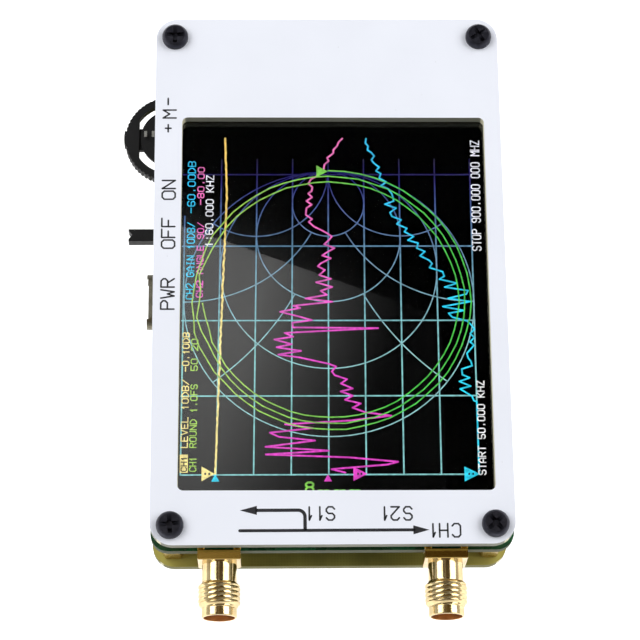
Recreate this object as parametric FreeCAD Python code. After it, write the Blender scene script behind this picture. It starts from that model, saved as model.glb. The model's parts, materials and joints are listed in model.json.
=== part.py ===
import FreeCAD, Part
import math
import os

# Handheld two-port vector network analyzer, in millimetres.
# Origin: middle of the instrument, on the plane that the four back screw heads stand on.
# +Z towards the display's viewer, +Y away from the coaxial ports, -X towards the controls.

Vector = FreeCAD.Vector
X_AXIS = Vector(1, 0, 0)
Y_AXIS = Vector(0, 1, 0)
Z_AXIS = Vector(0, 0, 1)

# The three stacked plates.
PLATE_WIDTH = 54.0
PLATE_LENGTH = 85.5
PANEL_CORNER_RADIUS = 3.4
BOARD_CORNER_RADIUS = 2.6
PLATE_THICKNESS = 1.6
SPACER_HEIGHT = 1.6
STANDOFF_HEIGHT = 8.0
HEAD_HEIGHT = 1.3

# Heights, from the rest plane up.
BACK_PANEL_Z = HEAD_HEIGHT
BACK_INNER_Z = BACK_PANEL_Z + PLATE_THICKNESS
BOARD_BOTTOM_Z = BACK_INNER_Z + STANDOFF_HEIGHT
BOARD_TOP_Z = BOARD_BOTTOM_Z + PLATE_THICKNESS
FRONT_PANEL_Z = BOARD_TOP_Z + SPACER_HEIGHT
FRONT_TOP_Z = FRONT_PANEL_Z + PLATE_THICKNESS

# Screw stacks in the four corners.
SCREW_X = 24.0
SCREW_Y = 39.65
HEAD_RADIUS = 2.05
SHANK_RADIUS = 0.97
PLATE_HOLE_RADIUS = 1.1
THREAD_BORE_RADIUS = 1.0
SPACER_RADIUS = 2.0
STANDOFF_ACROSS_FLATS = 4.0
FRONT_SHANK_LENGTH = 8.0
BACK_SHANK_LENGTH = 5.0
RECESS_TURNS = (4, 0, 40, 30)

# Play in the screw holes lets the two panels sit a little off the board.
FRONT_PANEL_OFFSET = (0.0, 0.12)
BACK_PANEL_OFFSET = (-0.15, -0.12)

# Display window and the display stack under it.
WINDOW_WIDTH = 47.2
WINDOW_LENGTH = 60.25
WINDOW_CORNER_RADIUS = 0.9
WINDOW_X = 0.72
WINDOW_Y = -4.3
WINDOW_TURN = -0.19
GLASS_WIDTH = 49.8
GLASS_LOW_Y = -36.2
GLASS_HIGH_Y = 27.7
LEDGE_HIGH_Y = 32.9
TAPE_THICKNESS = 0.1
TRAY_SHEET = 0.1
TRAY_WALL = 0.2
TRAY_DEPTH = 0.8
GUIDE_THICKNESS = 0.35
FILM_THICKNESS = 0.1
REAR_GLASS_THICKNESS = 0.25
FRONT_GLASS_THICKNESS = 0.25
ADHESIVE_THICKNESS = 0.1
ADHESIVE_WIDTH = 1.1
TOUCH_THICKNESS = 0.3
TRAY_Z = BOARD_TOP_Z + TAPE_THICKNESS
GUIDE_Z = TRAY_Z + TRAY_SHEET
FILM_Z = GUIDE_Z + GUIDE_THICKNESS
CELL_Z = FILM_Z + FILM_THICKNESS
LEDGE_Z = CELL_Z + REAR_GLASS_THICKNESS
ADHESIVE_Z = LEDGE_Z + FRONT_GLASS_THICKNESS
TOUCH_Z = ADHESIVE_Z + ADHESIVE_THICKNESS

# Threaded coaxial ports on the bottom edge; distances along the port run out from the edge.
PORT_X = 16.8
PORT_Z = BOARD_BOTTOM_Z - 0.5
PORT_LENGTH = 9.65
FLANGE_SIZE = 6.35
FLANGE_TAIL = 0.8
FLANGE_THICKNESS = 1.5
FLANGE_CHAMFER = 1.4
NECK_RADIUS = 2.6
THREAD_RADIUS = 3.15
THREAD_ROOT_RADIUS = 2.84
THREAD_PITCH = 25.4 / 36
THREAD_START = 4.4
THREAD_TURNS = 5
MOUTH_RADIUS = 2.3
MOUTH_DEPTH = 1.9
INSULATOR_RADIUS = 2.05
CONTACT_RADIUS = 0.635
CONTACT_BORE_RADIUS = 0.47
CONTACT_BORE_DEPTH = 2.6
TAIL_RADIUS = 0.5
TAIL_LENGTH = 2.6

# Charge and data port on the left edge, under the main board.
DATA_PORT_Y = -2.5
DATA_PORT_FRONT_X = -28.15
DATA_PORT_DEPTH = 7.35
DATA_PORT_WIDTH = 8.94
DATA_PORT_HEIGHT = 3.26
DATA_PORT_SHEET = 0.3

# Slide switch on the left edge, drawn at its off position.
SWITCH_Y = 9.4
SWITCH_FRONT_X = -26.9
SWITCH_DEPTH = 4.2
SWITCH_LENGTH = 8.6
SWITCH_HEIGHT = 3.6
SWITCH_SHEET = 0.25
SWITCH_TRAVEL = 2.0
SWITCH_PITCH = 2.0
KNOB_SIZE = 2.0
KNOB_TIP_X = -31.2
KNOB_Y = SWITCH_Y - SWITCH_TRAVEL / 2
KNOB_Z = BOARD_BOTTOM_Z - SWITCH_HEIGHT / 2

# Jog wheel: a lever ring that turns a little both ways and pushes in along +X.
# The X and Y places of its parts are measured from its own centre.
JOG_X = -24.75
JOG_Y = 24.95
JOG_PUSH = 0.5
RING_OUTER_RADIUS = 7.18
RING_INNER_RADIUS = 6.0
RING_HALF_ANGLE = 100.0
RING_BOTTOM_Z = BOARD_BOTTOM_Z - 2.4
RING_TOP_Z = BOARD_BOTTOM_Z - 1.2
HUB_RADIUS = 3.6
HUB_BOTTOM_Z = BOARD_BOTTOM_Z - 2.8
HUB_TOP_Z = BOARD_BOTTOM_Z - 1.7
DISC_RADIUS = 4.8
DISC_BOTTOM_Z = BOARD_BOTTOM_Z - 1.6
DISC_TOP_Z = BOARD_BOTTOM_Z - 1.05
KEY_LOW_X = -1.2
KEY_HIGH_X = 3.7
JOG_BASE_Z = BOARD_BOTTOM_Z - 1.0
PIVOT_RADIUS = 0.6
RUNNING_CLEARANCE = 0.05
LUG_REACH = 4.7
HEEL_X = DISC_RADIUS + JOG_PUSH + RUNNING_CLEARANCE

# Battery and its plug.
BATTERY_X = 3.0
BATTERY_Y = -3.0
BATTERY_WIDTH = 30.0
BATTERY_LENGTH = 40.0
BATTERY_THICKNESS = 4.0
BATTERY_TAPE_THICKNESS = 0.2
LEAD_X = 6.0
LEAD_PITCH = 1.25
LEAD_RADIUS = 0.4
LEAD_PLUG_Y = 28.6
LEAD_PLUG_Z = BOARD_BOTTOM_Z - 1.7


# ---- shape helpers ----

def box(x_range, y_range, z_range):
    """A block between two limits on each axis."""
    size = [high - low for low, high in (x_range, y_range, z_range)]
    return Part.makeBox(*size, Vector(x_range[0], y_range[0], z_range[0]))


def span(middle, width):
    """The two limits of a width centred on a middle value."""
    return (middle - width / 2, middle + width / 2)


def post(x, y, z_range, radius):
    """A vertical cylinder."""
    return Part.makeCylinder(radius, z_range[1] - z_range[0], Vector(x, y, z_range[0]))


def tube(x, y, z_range, outer_radius, inner_radius):
    """A vertical hollow cylinder."""
    return post(x, y, z_range, outer_radius).cut(post(x, y, z_range, inner_radius))


def polygon(points):
    """A flat face from corner points."""
    corners = [Vector(*point) for point in points]
    return Part.Face(Part.makePolygon(corners + corners[:1]))


def prism(points, direction):
    """A flat polygon carried along a direction."""
    return polygon(points).extrude(Vector(*direction))


def rounded_plate(x_range, y_range, z_range, radius):
    """A block whose four vertical edges are rounded."""
    plate = box(x_range, y_range, z_range)
    upright = [edge for edge in plate.Edges if edge.tangentAt(0).cross(Z_AXIS).Length < 1e-6]
    return plate.makeFillet(radius, upright)


def rounded_path(points, radii):
    """Straight runs through the points, joined by tangent arcs of the given radii."""
    corners = [Vector(*point) for point in points]
    edges = []
    start = corners[0]
    for before, corner, after, radius in zip(corners, corners[1:], corners[2:], radii):
        back = (before - corner).normalize()
        ahead = (after - corner).normalize()
        half_turn = (math.pi - back.getAngle(ahead)) / 2
        trim = radius * math.tan(half_turn)
        inward = (back + ahead).normalize()
        arc_start = corner + back * trim
        arc_middle = corner + inward * (radius / math.cos(half_turn) - radius)
        arc_end = corner + ahead * trim
        edges.append(Part.LineSegment(start, arc_start).toShape())
        edges.append(Part.Arc(arc_start, arc_middle, arc_end).toShape())
        start = arc_end
    edges.append(Part.LineSegment(start, corners[-1]).toShape())
    return Part.Wire(edges)


def bent_strip(points, radii, thickness, width_vector):
    """A strip of sheet bent along a flat path, as wide as the width vector."""
    section = rounded_path(points, radii).makeOffset2D(thickness, fill=True, openResult=True)
    return section.extrude(Vector(*width_vector))


def wire_along(points, radii, radius):
    """Round wire along a path of runs and arcs."""
    path = rounded_path(points, radii)
    first_run = Vector(*points[1]) - Vector(*points[0])
    circle = Part.Circle(Vector(*points[0]), first_run, radius).toShape()
    return path.makePipeShell([Part.Wire([circle])], True, True)


def group(shapes):
    """Separate solids that share one node."""
    return Part.makeCompound(shapes)


def merged(first, others):
    """One solid from touching or overlapping pieces."""
    return first.fuse(others).removeSplitter()


def save(name, shape):
    shape.exportStep(os.path.join("parts", name + ".step"))


def corner_places():
    return [(side * SCREW_X, end * SCREW_Y) for side in (-1, 1) for end in (-1, 1)]


# ---- plates, screws and spacers ----

def blank_plate(bottom, corner_radius, offset=(0.0, 0.0)):
    """One circuit-board plate with the four corner holes."""
    z_range = (bottom, bottom + PLATE_THICKNESS)
    x_range = span(offset[0], PLATE_WIDTH)
    y_range = span(offset[1], PLATE_LENGTH)
    plate = rounded_plate(x_range, y_range, z_range, corner_radius)
    holes = [post(x, y, z_range, PLATE_HOLE_RADIUS) for x, y in corner_places()]
    return plate.cut(holes)


def front_panel():
    window = rounded_plate(
        span(WINDOW_X, WINDOW_WIDTH),
        span(WINDOW_Y, WINDOW_LENGTH),
        (FRONT_PANEL_Z, FRONT_TOP_Z),
        WINDOW_CORNER_RADIUS,
    )
    window.rotate(Vector(WINDOW_X, WINDOW_Y, 0), Z_AXIS, WINDOW_TURN)
    return blank_plate(FRONT_PANEL_Z, PANEL_CORNER_RADIUS, FRONT_PANEL_OFFSET).cut(window)


def main_board():
    """The middle plate, drilled for every leg and peg that passes through it."""
    z_range = (BOARD_BOTTOM_Z, BOARD_TOP_Z)
    holes = [box(span(x, 1.1), span(y, 0.6), z_range) for x, y in data_port_tab_places()]
    holes += [post(x, y, z_range, 0.65) for x, y in switch_leg_places()]
    holes += [post(switch_pin_x(), y, z_range, 0.5) for y in switch_pin_places()]
    holes += [post(x, y, z_range, 0.5) for x, y in jog_peg_places()]
    return blank_plate(BOARD_BOTTOM_Z, BOARD_CORNER_RADIUS).cut(holes)


def pan_screw(shank_length):
    """A pan-head cross-recess screw, head upwards, seated on height 0."""
    rim = Vector(HEAD_RADIUS, 0, 0.5)
    crown_edge = Vector(1.6, 0, HEAD_HEIGHT)
    outward = (rim - crown_edge).cross(Y_AXIS).normalize()
    shoulder = (rim + crown_edge) / 2 + outward * 0.1
    crown = Vector(0, 0, HEAD_HEIGHT)
    profile = [
        Part.LineSegment(Vector(0, 0, 0), Vector(HEAD_RADIUS, 0, 0)).toShape(),
        Part.LineSegment(Vector(HEAD_RADIUS, 0, 0), rim).toShape(),
        Part.Arc(rim, shoulder, crown_edge).toShape(),
        Part.LineSegment(crown_edge, crown).toShape(),
        Part.LineSegment(crown, Vector(0, 0, 0)).toShape(),
    ]
    head = Part.Face(Part.Wire(profile)).revolve(Vector(0, 0, 0), Z_AXIS, 360)
    recess_depth = 0.9
    recess_reach = 1.45
    wing_width = 0.65
    funnel = Part.makeCone(
        0.55, recess_reach, recess_depth + 0.01, Vector(0, 0, HEAD_HEIGHT - recess_depth)
    )
    wings = [
        box(span(0, 2 * recess_reach), span(0, wing_width), (0, HEAD_HEIGHT + 0.1)),
        box(span(0, wing_width), span(0, 2 * recess_reach), (0, HEAD_HEIGHT + 0.1)),
    ]
    recess = funnel.common(wings[0].fuse(wings[1]))
    tip_chamfer = 0.3
    shank = post(0, 0, (tip_chamfer - shank_length, 0), SHANK_RADIUS)
    tip = Part.makeCone(
        SHANK_RADIUS - tip_chamfer, SHANK_RADIUS, tip_chamfer, Vector(0, 0, -shank_length)
    )
    return merged(head.cut(recess), [shank, tip])


def front_screws():
    screws = []
    for (x, y), turn in zip(corner_places(), RECESS_TURNS):
        screw = pan_screw(FRONT_SHANK_LENGTH)
        screw.rotate(Vector(0, 0, 0), Z_AXIS, turn)
        screw.translate(Vector(x, y, FRONT_TOP_Z))
        screws.append(screw)
    return group(screws)


def back_screws():
    screws = []
    for (x, y), turn in zip(corner_places(), reversed(RECESS_TURNS)):
        screw = pan_screw(BACK_SHANK_LENGTH)
        screw.rotate(Vector(0, 0, 0), Z_AXIS, turn)
        screw.rotate(Vector(0, 0, 0), X_AXIS, 180)
        screw.translate(Vector(x, y, BACK_PANEL_Z))
        screws.append(screw)
    return group(screws)


def front_spacers():
    z_range = (BOARD_TOP_Z, FRONT_PANEL_Z)
    return group([tube(x, y, z_range, SPACER_RADIUS, PLATE_HOLE_RADIUS) for x, y in corner_places()])


def board_standoffs():
    """Hexagonal threaded standoffs with broken corners at both ends."""
    corner_radius = STANDOFF_ACROSS_FLATS / math.sqrt(3)
    chamfer = 0.25
    standoffs = []
    for x, y in corner_places():
        ring = []
        for corner in range(6):
            angle = math.radians(60 * corner)
            ring.append(
                (x + corner_radius * math.cos(angle), y + corner_radius * math.sin(angle), BACK_INNER_Z)
            )
        bar = prism(ring, (0, 0, STANDOFF_HEIGHT))
        turned = post(x, y, (BACK_INNER_Z, BOARD_BOTTOM_Z), corner_radius)
        turned = turned.makeChamfer(chamfer, turned.Edges)
        bore = post(x, y, (BACK_INNER_Z, BOARD_BOTTOM_Z), THREAD_BORE_RADIUS)
        standoffs.append(bar.common(turned).cut(bore))
    return group(standoffs)


# ---- display ----

def glass_block(z_range, low_y, high_y, inset=0.0):
    x_range = span(WINDOW_X, GLASS_WIDTH - 2 * inset)
    return box(x_range, (low_y + inset, high_y - inset), z_range)


def display_tape():
    strip_width = 4.0
    z_range = (BOARD_TOP_Z, TRAY_Z)
    strips = [
        box(span(WINDOW_X + side * 20, strip_width), (GLASS_LOW_Y + 2, LEDGE_HIGH_Y - 4), z_range)
        for side in (-1, 1)
    ]
    return group(strips)


def display_tray():
    """A folded steel tray that carries the light guide and the glass."""
    gap = 0.1
    x_range = span(WINDOW_X, GLASS_WIDTH + 2 * (gap + TRAY_WALL))
    y_range = (GLASS_LOW_Y - gap - TRAY_WALL, LEDGE_HIGH_Y + gap + TRAY_WALL)
    outer = box(x_range, y_range, (TRAY_Z, TRAY_Z + TRAY_DEPTH))
    inner = box(
        (x_range[0] + TRAY_WALL, x_range[1] - TRAY_WALL),
        (y_range[0] + TRAY_WALL, y_range[1] - TRAY_WALL),
        (GUIDE_Z, TRAY_Z + TRAY_DEPTH),
    )
    return outer.cut(inner)


def light_guide():
    return glass_block((GUIDE_Z, FILM_Z), GLASS_LOW_Y, GLASS_HIGH_Y, 0.1)


def backlight_lamps():
    lamp = (3.0, 0.9)
    y_middle = GLASS_HIGH_Y + 0.7
    places = [WINDOW_X - 16.5 + 11 * k for k in range(4)]
    return group([box(span(x, lamp[0]), span(y_middle, lamp[1]), (GUIDE_Z, FILM_Z)) for x in places])


def diffuser_film():
    return glass_block((FILM_Z, CELL_Z), GLASS_LOW_Y, GLASS_HIGH_Y, 0.1)


def display_cell():
    """Two bonded glass sheets; the rear one runs on past the front one as a ledge."""
    rear = glass_block((CELL_Z, LEDGE_Z), GLASS_LOW_Y, LEDGE_HIGH_Y)
    front = glass_block((LEDGE_Z, ADHESIVE_Z), GLASS_LOW_Y, GLASS_HIGH_Y)
    return merged(rear, [front])


def display_driver():
    return box(span(WINDOW_X, 19.0), (28.5, 29.9), (LEDGE_Z, LEDGE_Z + 0.2))


def touch_adhesive():
    """A rim of adhesive that holds the touch panel just clear of the display cell."""
    z_range = (ADHESIVE_Z, TOUCH_Z)
    sheet = glass_block(z_range, GLASS_LOW_Y, GLASS_HIGH_Y, 0.1)
    return sheet.cut(glass_block(z_range, GLASS_LOW_Y, GLASS_HIGH_Y, 0.1 + ADHESIVE_WIDTH))


def touch_panel():
    return glass_block((TOUCH_Z, TOUCH_Z + TOUCH_THICKNESS), GLASS_LOW_Y, GLASS_HIGH_Y, 0.1)


def touch_tail():
    """Flexible tail from the touch panel down to the main board."""
    x_low = WINDOW_X + 14
    top = TOUCH_Z + 0.05
    path = [
        (x_low, GLASS_HIGH_Y - 0.1, top),
        (x_low, 34.0, top),
        (x_low, 35.2, BOARD_TOP_Z),
        (x_low, 37.0, BOARD_TOP_Z),
    ]
    return lifted_strip(path, 0.5, 0.1, 4.0)


def lifted_strip(path, radius, thickness, width):
    """A flexible strip whose path is its underside."""
    strip = bent_strip(path, [radius, radius], thickness, (width, 0, 0))
    if strip.BoundBox.ZMin < min(point[2] for point in path) - thickness / 2:
        strip = bent_strip(path, [radius, radius], -thickness, (width, 0, 0))
    return strip


def ribbon_path(x_low):
    return [
        (x_low, 30.6, LEDGE_Z),
        (x_low, 33.8, LEDGE_Z),
        (x_low, 34.9, BOARD_TOP_Z + 0.4),
        (x_low, 37.0, BOARD_TOP_Z + 0.4),
    ]


def display_ribbon():
    return lifted_strip(ribbon_path(WINDOW_X - 9.5), 0.5, 0.12, 19.0)


def ribbon_socket():
    body = box(span(WINDOW_X, 22.0), (36.0, 39.6), (BOARD_TOP_Z, BOARD_TOP_Z + 1.0))
    slot = box(span(WINDOW_X, 19.3), (36.0, 38.2), (BOARD_TOP_Z + 0.35, BOARD_TOP_Z + 0.6))
    return body.cut(slot)


# ---- coaxial ports ----

def port_profile():
    """Half section of the threaded barrel: (radius, distance out from the board edge)."""
    thread_end = THREAD_START + THREAD_TURNS * THREAD_PITCH
    points = [(INSULATOR_RADIUS, 0), (NECK_RADIUS, 0), (NECK_RADIUS, THREAD_START)]
    for turn in range(THREAD_TURNS):
        base = THREAD_START + turn * THREAD_PITCH
        points.append((THREAD_ROOT_RADIUS, base + 0.04))
        points.append((THREAD_RADIUS, base + THREAD_PITCH * 0.45))
        points.append((THREAD_RADIUS, base + THREAD_PITCH * 0.6))
    points += [
        (NECK_RADIUS + 0.05, thread_end),
        (NECK_RADIUS + 0.05, PORT_LENGTH - 0.15),
        (NECK_RADIUS - 0.1, PORT_LENGTH),
        (MOUTH_RADIUS, PORT_LENGTH),
        (MOUTH_RADIUS, PORT_LENGTH - MOUTH_DEPTH),
        (INSULATOR_RADIUS, PORT_LENGTH - MOUTH_DEPTH),
    ]
    return points


def place_port(shape, x):
    """Local +Y runs out of the port; the port itself faces -Y from the bottom edge."""
    shape.rotate(Vector(0, 0, 0), Z_AXIS, 180)
    shape.translate(Vector(x, -PLATE_LENGTH / 2, PORT_Z))
    return shape


def port_flange(tailed):
    """A square flange; a tailed one reaches further down, where its corners are cut off."""
    half = FLANGE_SIZE / 2
    tail = half + FLANGE_TAIL
    cut = FLANGE_CHAMFER
    lower_edge = [(half, 0, -half), (-half, 0, -half)]
    if tailed:
        lower_edge = [(half, 0, cut - tail), (half - cut, 0, -tail), (cut - half, 0, -tail), (-half, 0, cut - tail)]
    flange = prism([(-half, 0, half), (half, 0, half)] + lower_edge, (0, FLANGE_THICKNESS, 0))
    bore = Part.makeCylinder(INSULATOR_RADIUS, FLANGE_THICKNESS, Vector(0, 0, 0), Y_AXIS)
    return flange.cut(bore)


def port_legs():
    """Four legs that grip the board's edge from above and below."""
    leg_width = 1.0
    leg_length = 3.6
    board_bottom = BOARD_BOTTOM_Z - PORT_Z
    board_top = BOARD_TOP_Z - PORT_Z
    legs = []
    for side in (-1, 1):
        x_range = span(side * (FLANGE_SIZE - leg_width) / 2, leg_width)
        legs.append(box(x_range, (-leg_length, 0), (board_top, board_top + leg_width)))
        legs.append(box(x_range, (-leg_length, 0), (board_bottom - leg_width, board_bottom)))
    return legs


def port_body(x, tailed):
    corners = [Vector(radius, out, 0) for radius, out in port_profile()]
    section = Part.Face(Part.makePolygon(corners + corners[:1]))
    barrel = section.revolve(Vector(0, 0, 0), Y_AXIS, 360)
    return place_port(merged(barrel, [port_flange(tailed)] + port_legs()), x)


def port_insulator(x):
    length = PORT_LENGTH - MOUTH_DEPTH
    block = Part.makeCylinder(INSULATOR_RADIUS, length, Vector(0, 0, 0), Y_AXIS)
    hole = Part.makeCylinder(CONTACT_RADIUS, length, Vector(0, 0, 0), Y_AXIS)
    return place_port(block.cut(hole), x)


def port_contact(x):
    """The slotted centre socket with its solder tail."""
    length = PORT_LENGTH - MOUTH_DEPTH
    socket = Part.makeCylinder(CONTACT_RADIUS, length, Vector(0, 0, 0), Y_AXIS)
    tail = Part.makeCylinder(TAIL_RADIUS, TAIL_LENGTH, Vector(0, -TAIL_LENGTH, 0), Y_AXIS)
    bore_start = length - CONTACT_BORE_DEPTH
    bore = Part.makeCylinder(CONTACT_BORE_RADIUS, CONTACT_BORE_DEPTH, Vector(0, bore_start, 0), Y_AXIS)
    slot_width = 0.12
    slot_y = (bore_start + 0.3, length)
    slots = [
        box(span(0, 2), slot_y, span(0, slot_width)),
        box(span(0, slot_width), slot_y, span(0, 2)),
    ]
    return place_port(merged(socket.cut([bore] + slots), [tail]), x)


# ---- charge and data port ----

def data_port_middle_z():
    return BOARD_BOTTOM_Z - DATA_PORT_HEIGHT / 2


def stadium_bar(width, height, x_range):
    """A bar along X with fully rounded sides."""
    z_middle = data_port_middle_z()
    flat = width - height
    bar = box(x_range, span(DATA_PORT_Y, flat), span(z_middle, height))
    length = x_range[1] - x_range[0]
    sides = [
        Part.makeCylinder(
            height / 2, length, Vector(x_range[0], DATA_PORT_Y + side * flat / 2, z_middle), X_AXIS
        )
        for side in (-1, 1)
    ]
    return merged(bar, sides)


def data_port_tab_places():
    """Centres of the four shell tabs that are soldered through the board."""
    y_offset = (DATA_PORT_WIDTH - DATA_PORT_SHEET) / 2
    rows = (DATA_PORT_FRONT_X + 2.4, DATA_PORT_FRONT_X + 6.2)
    return [(x, DATA_PORT_Y + side * y_offset) for x in rows for side in (-1, 1)]


def data_port_shell():
    x_range = (DATA_PORT_FRONT_X, DATA_PORT_FRONT_X + DATA_PORT_DEPTH)
    outer = stadium_bar(DATA_PORT_WIDTH, DATA_PORT_HEIGHT, x_range)
    inner = stadium_bar(
        DATA_PORT_WIDTH - 2 * DATA_PORT_SHEET, DATA_PORT_HEIGHT - 2 * DATA_PORT_SHEET, x_range
    )
    lip_step = 0.25
    lip_cut = box(
        (DATA_PORT_FRONT_X, DATA_PORT_FRONT_X + lip_step),
        span(DATA_PORT_Y, DATA_PORT_WIDTH - 2.4),
        span(data_port_middle_z(), DATA_PORT_HEIGHT + 1),
    )
    tabs = [
        box(span(x, 0.8), span(y, DATA_PORT_SHEET), (data_port_middle_z(), BOARD_TOP_Z - 0.4))
        for x, y in data_port_tab_places()
    ]
    return merged(outer.cut([inner, lip_cut]), tabs)


def tongue_front_x():
    return DATA_PORT_FRONT_X + 1.0


def data_port_tongue():
    """The contact tongue and the moulded block that closes the shell's back."""
    back_x = DATA_PORT_FRONT_X + DATA_PORT_DEPTH
    block_x = back_x - 1.6
    z_middle = data_port_middle_z()
    tongue = box((tongue_front_x(), block_x), span(DATA_PORT_Y, 6.7), span(z_middle, 0.7))
    inner_height = DATA_PORT_HEIGHT - 2 * DATA_PORT_SHEET
    block = stadium_bar(DATA_PORT_WIDTH - 2 * DATA_PORT_SHEET, inner_height, (block_x, back_x))
    return merged(tongue, [block])


def data_port_contacts():
    """Twelve strips on each face of the tongue and twelve solder feet behind."""
    strip_width = 0.25
    strip_thickness = 0.06
    tongue_half = 0.35
    z_middle = data_port_middle_z()
    back_x = DATA_PORT_FRONT_X + DATA_PORT_DEPTH
    strip_x = (tongue_front_x() + 0.3, back_x - 1.6)
    solids = []
    for k in range(12):
        y_range = span(DATA_PORT_Y + 0.5 * (k - 5.5), strip_width)
        top = z_middle + tongue_half
        bottom = z_middle - tongue_half
        solids.append(box(strip_x, y_range, (top, top + strip_thickness)))
        solids.append(box(strip_x, y_range, (bottom - strip_thickness, bottom)))
        solids.append(box((back_x, back_x + 0.9), y_range, (BOARD_BOTTOM_Z - 0.15, BOARD_BOTTOM_Z)))
    return group(solids)


# ---- power switch ----

def switch_leg_places():
    x = SWITCH_FRONT_X + SWITCH_DEPTH / 2
    offset = (SWITCH_LENGTH - SWITCH_SHEET) / 2
    return [(x, SWITCH_Y - offset), (x, SWITCH_Y + offset)]


def switch_pin_x():
    return SWITCH_FRONT_X + SWITCH_DEPTH + 0.85


def switch_pin_places():
    return [SWITCH_Y + SWITCH_PITCH * k for k in (-1, 0, 1)]


def power_switch_cover():
    """Folded steel cover, open at the back, with a slot for the knob."""
    x_range = (SWITCH_FRONT_X, SWITCH_FRONT_X + SWITCH_DEPTH)
    y_range = span(SWITCH_Y, SWITCH_LENGTH)
    z_range = (BOARD_BOTTOM_Z - SWITCH_HEIGHT, BOARD_BOTTOM_Z)
    sheet = SWITCH_SHEET
    outer = box(x_range, y_range, z_range)
    inner = box(
        (x_range[0] + sheet, x_range[1]),
        (y_range[0] + sheet, y_range[1] - sheet),
        (z_range[0] + sheet, z_range[1] - sheet),
    )
    play = 0.15
    slot = box(
        (x_range[0], x_range[0] + sheet),
        span(SWITCH_Y, KNOB_SIZE + SWITCH_TRAVEL + 2 * play),
        span(KNOB_Z, KNOB_SIZE + 2 * play),
    )
    legs = [
        box(span(x, 1.0), span(y, sheet), (z_range[0] + 1, BOARD_TOP_Z - 0.2))
        for x, y in switch_leg_places()
    ]
    return merged(outer.cut([inner, slot]), legs)


def switch_terminals():
    """Three strips from the contact pads back and up through the board."""
    width = 0.6
    strip = 0.3
    pad_x = SWITCH_FRONT_X + SWITCH_DEPTH - 0.7
    terminals = []
    for y in switch_pin_places():
        path = [
            (pad_x, y - width / 2, KNOB_Z - 0.1),
            (switch_pin_x(), y - width / 2, KNOB_Z - 0.1),
            (switch_pin_x(), y - width / 2, BOARD_TOP_Z - 0.2),
        ]
        terminals.append(bent_strip(path, [0.35], strip / 2, (0, width, 0)))
    return terminals


def power_switch_base():
    back_x = SWITCH_FRONT_X + SWITCH_DEPTH
    inner_length = SWITCH_LENGTH - 2 * SWITCH_SHEET
    inner_height = SWITCH_HEIGHT - 2 * SWITCH_SHEET
    plate = box(
        (back_x - 0.6, back_x), span(SWITCH_Y, inner_length - 0.1), span(KNOB_Z, inner_height - 0.1)
    )
    return plate.cut(switch_terminals())


def power_switch_knob():
    """The shuttle inside the cover and the long grooved stem that stands out of it."""
    play = 0.05
    shuttle_x = SWITCH_FRONT_X + SWITCH_SHEET + play
    shuttle = box((shuttle_x, shuttle_x + 1.6), span(KNOB_Y, 4.6), span(KNOB_Z, 2.6))
    stem = box((KNOB_TIP_X, shuttle_x), span(KNOB_Y, KNOB_SIZE), span(KNOB_Z, KNOB_SIZE))
    long_edges = [edge for edge in stem.Edges if edge.tangentAt(0).cross(X_AXIS).Length < 1e-6]
    stem = stem.makeFillet(0.15, long_edges)
    notch_depth = 0.58
    notch_half = 0.7
    bottom = KNOB_Z - KNOB_SIZE
    notch = prism(
        [
            (KNOB_TIP_X, KNOB_Y - notch_half, bottom),
            (KNOB_TIP_X + notch_depth, KNOB_Y, bottom),
            (KNOB_TIP_X, KNOB_Y + notch_half, bottom),
        ],
        (0, 0, 2 * KNOB_SIZE),
    )
    return merged(shuttle, [stem.cut(notch)])


def power_switch_wiper():
    """A springy strip on the shuttle's back that bridges two of the three terminals."""
    back_x = SWITCH_FRONT_X + SWITCH_SHEET + 0.05 + 1.6
    bump_x = SWITCH_FRONT_X + SWITCH_DEPTH - 0.7 - 0.16
    z = KNOB_Z - 0.6
    path = [
        (back_x + 0.25, KNOB_Y - 1.9, z),
        (bump_x, KNOB_Y - SWITCH_PITCH / 2, z),
        (back_x, KNOB_Y - 0.4, z),
        (back_x, KNOB_Y + 0.4, z),
        (bump_x, KNOB_Y + SWITCH_PITCH / 2, z),
        (back_x + 0.25, KNOB_Y + 1.9, z),
    ]
    return bent_strip(path, [0.2, 0.15, 0.15, 0.2], 0.1, (0, 0, 1.2))


# ---- jog wheel ----

def jog(x, y=0.0):
    """A point given from the wheel's centre, in the instrument's frame."""
    return (JOG_X + x, JOG_Y + y)


def jog_box(x_range, y_range, z_range):
    return box(
        (JOG_X + x_range[0], JOG_X + x_range[1]), (JOG_Y + y_range[0], JOG_Y + y_range[1]), z_range
    )


def jog_peg_places():
    return [jog(3.0, -4.2), jog(3.0, 4.2)]


def jog_base():
    """Fixed moulding: a slotted plate against the board, with a heel behind the carriage."""
    half_width = 5.4
    plate = jog_box((-1.4, 9.6), (-half_width, half_width), (JOG_BASE_Z, BOARD_BOTTOM_Z))
    heel = jog_box((HEEL_X, 9.6), (-half_width, half_width), (BOARD_BOTTOM_Z - 3.9, JOG_BASE_Z))
    slot_x = (KEY_LOW_X - 0.2, KEY_HIGH_X + JOG_PUSH + 0.1)
    neck = jog_box(slot_x, (-1.6, 1.6), (JOG_BASE_Z, JOG_BASE_Z + 0.35))
    channel = jog_box(slot_x, (-2.3, 2.3), (JOG_BASE_Z + 0.35, JOG_BASE_Z + 0.75))
    pegs = [post(x, y, (BOARD_BOTTOM_Z, BOARD_TOP_Z - 0.3), 0.45) for x, y in jog_peg_places()]
    return merged(plate.cut([neck, channel]), [heel] + pegs)


def jog_terminals():
    feet = [
        jog_box((9.6, 10.6), span(y, 0.6), (BOARD_BOTTOM_Z - 0.15, BOARD_BOTTOM_Z))
        for y in (-3.6, -1.2, 1.2, 3.6)
    ]
    return group(feet)


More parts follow.
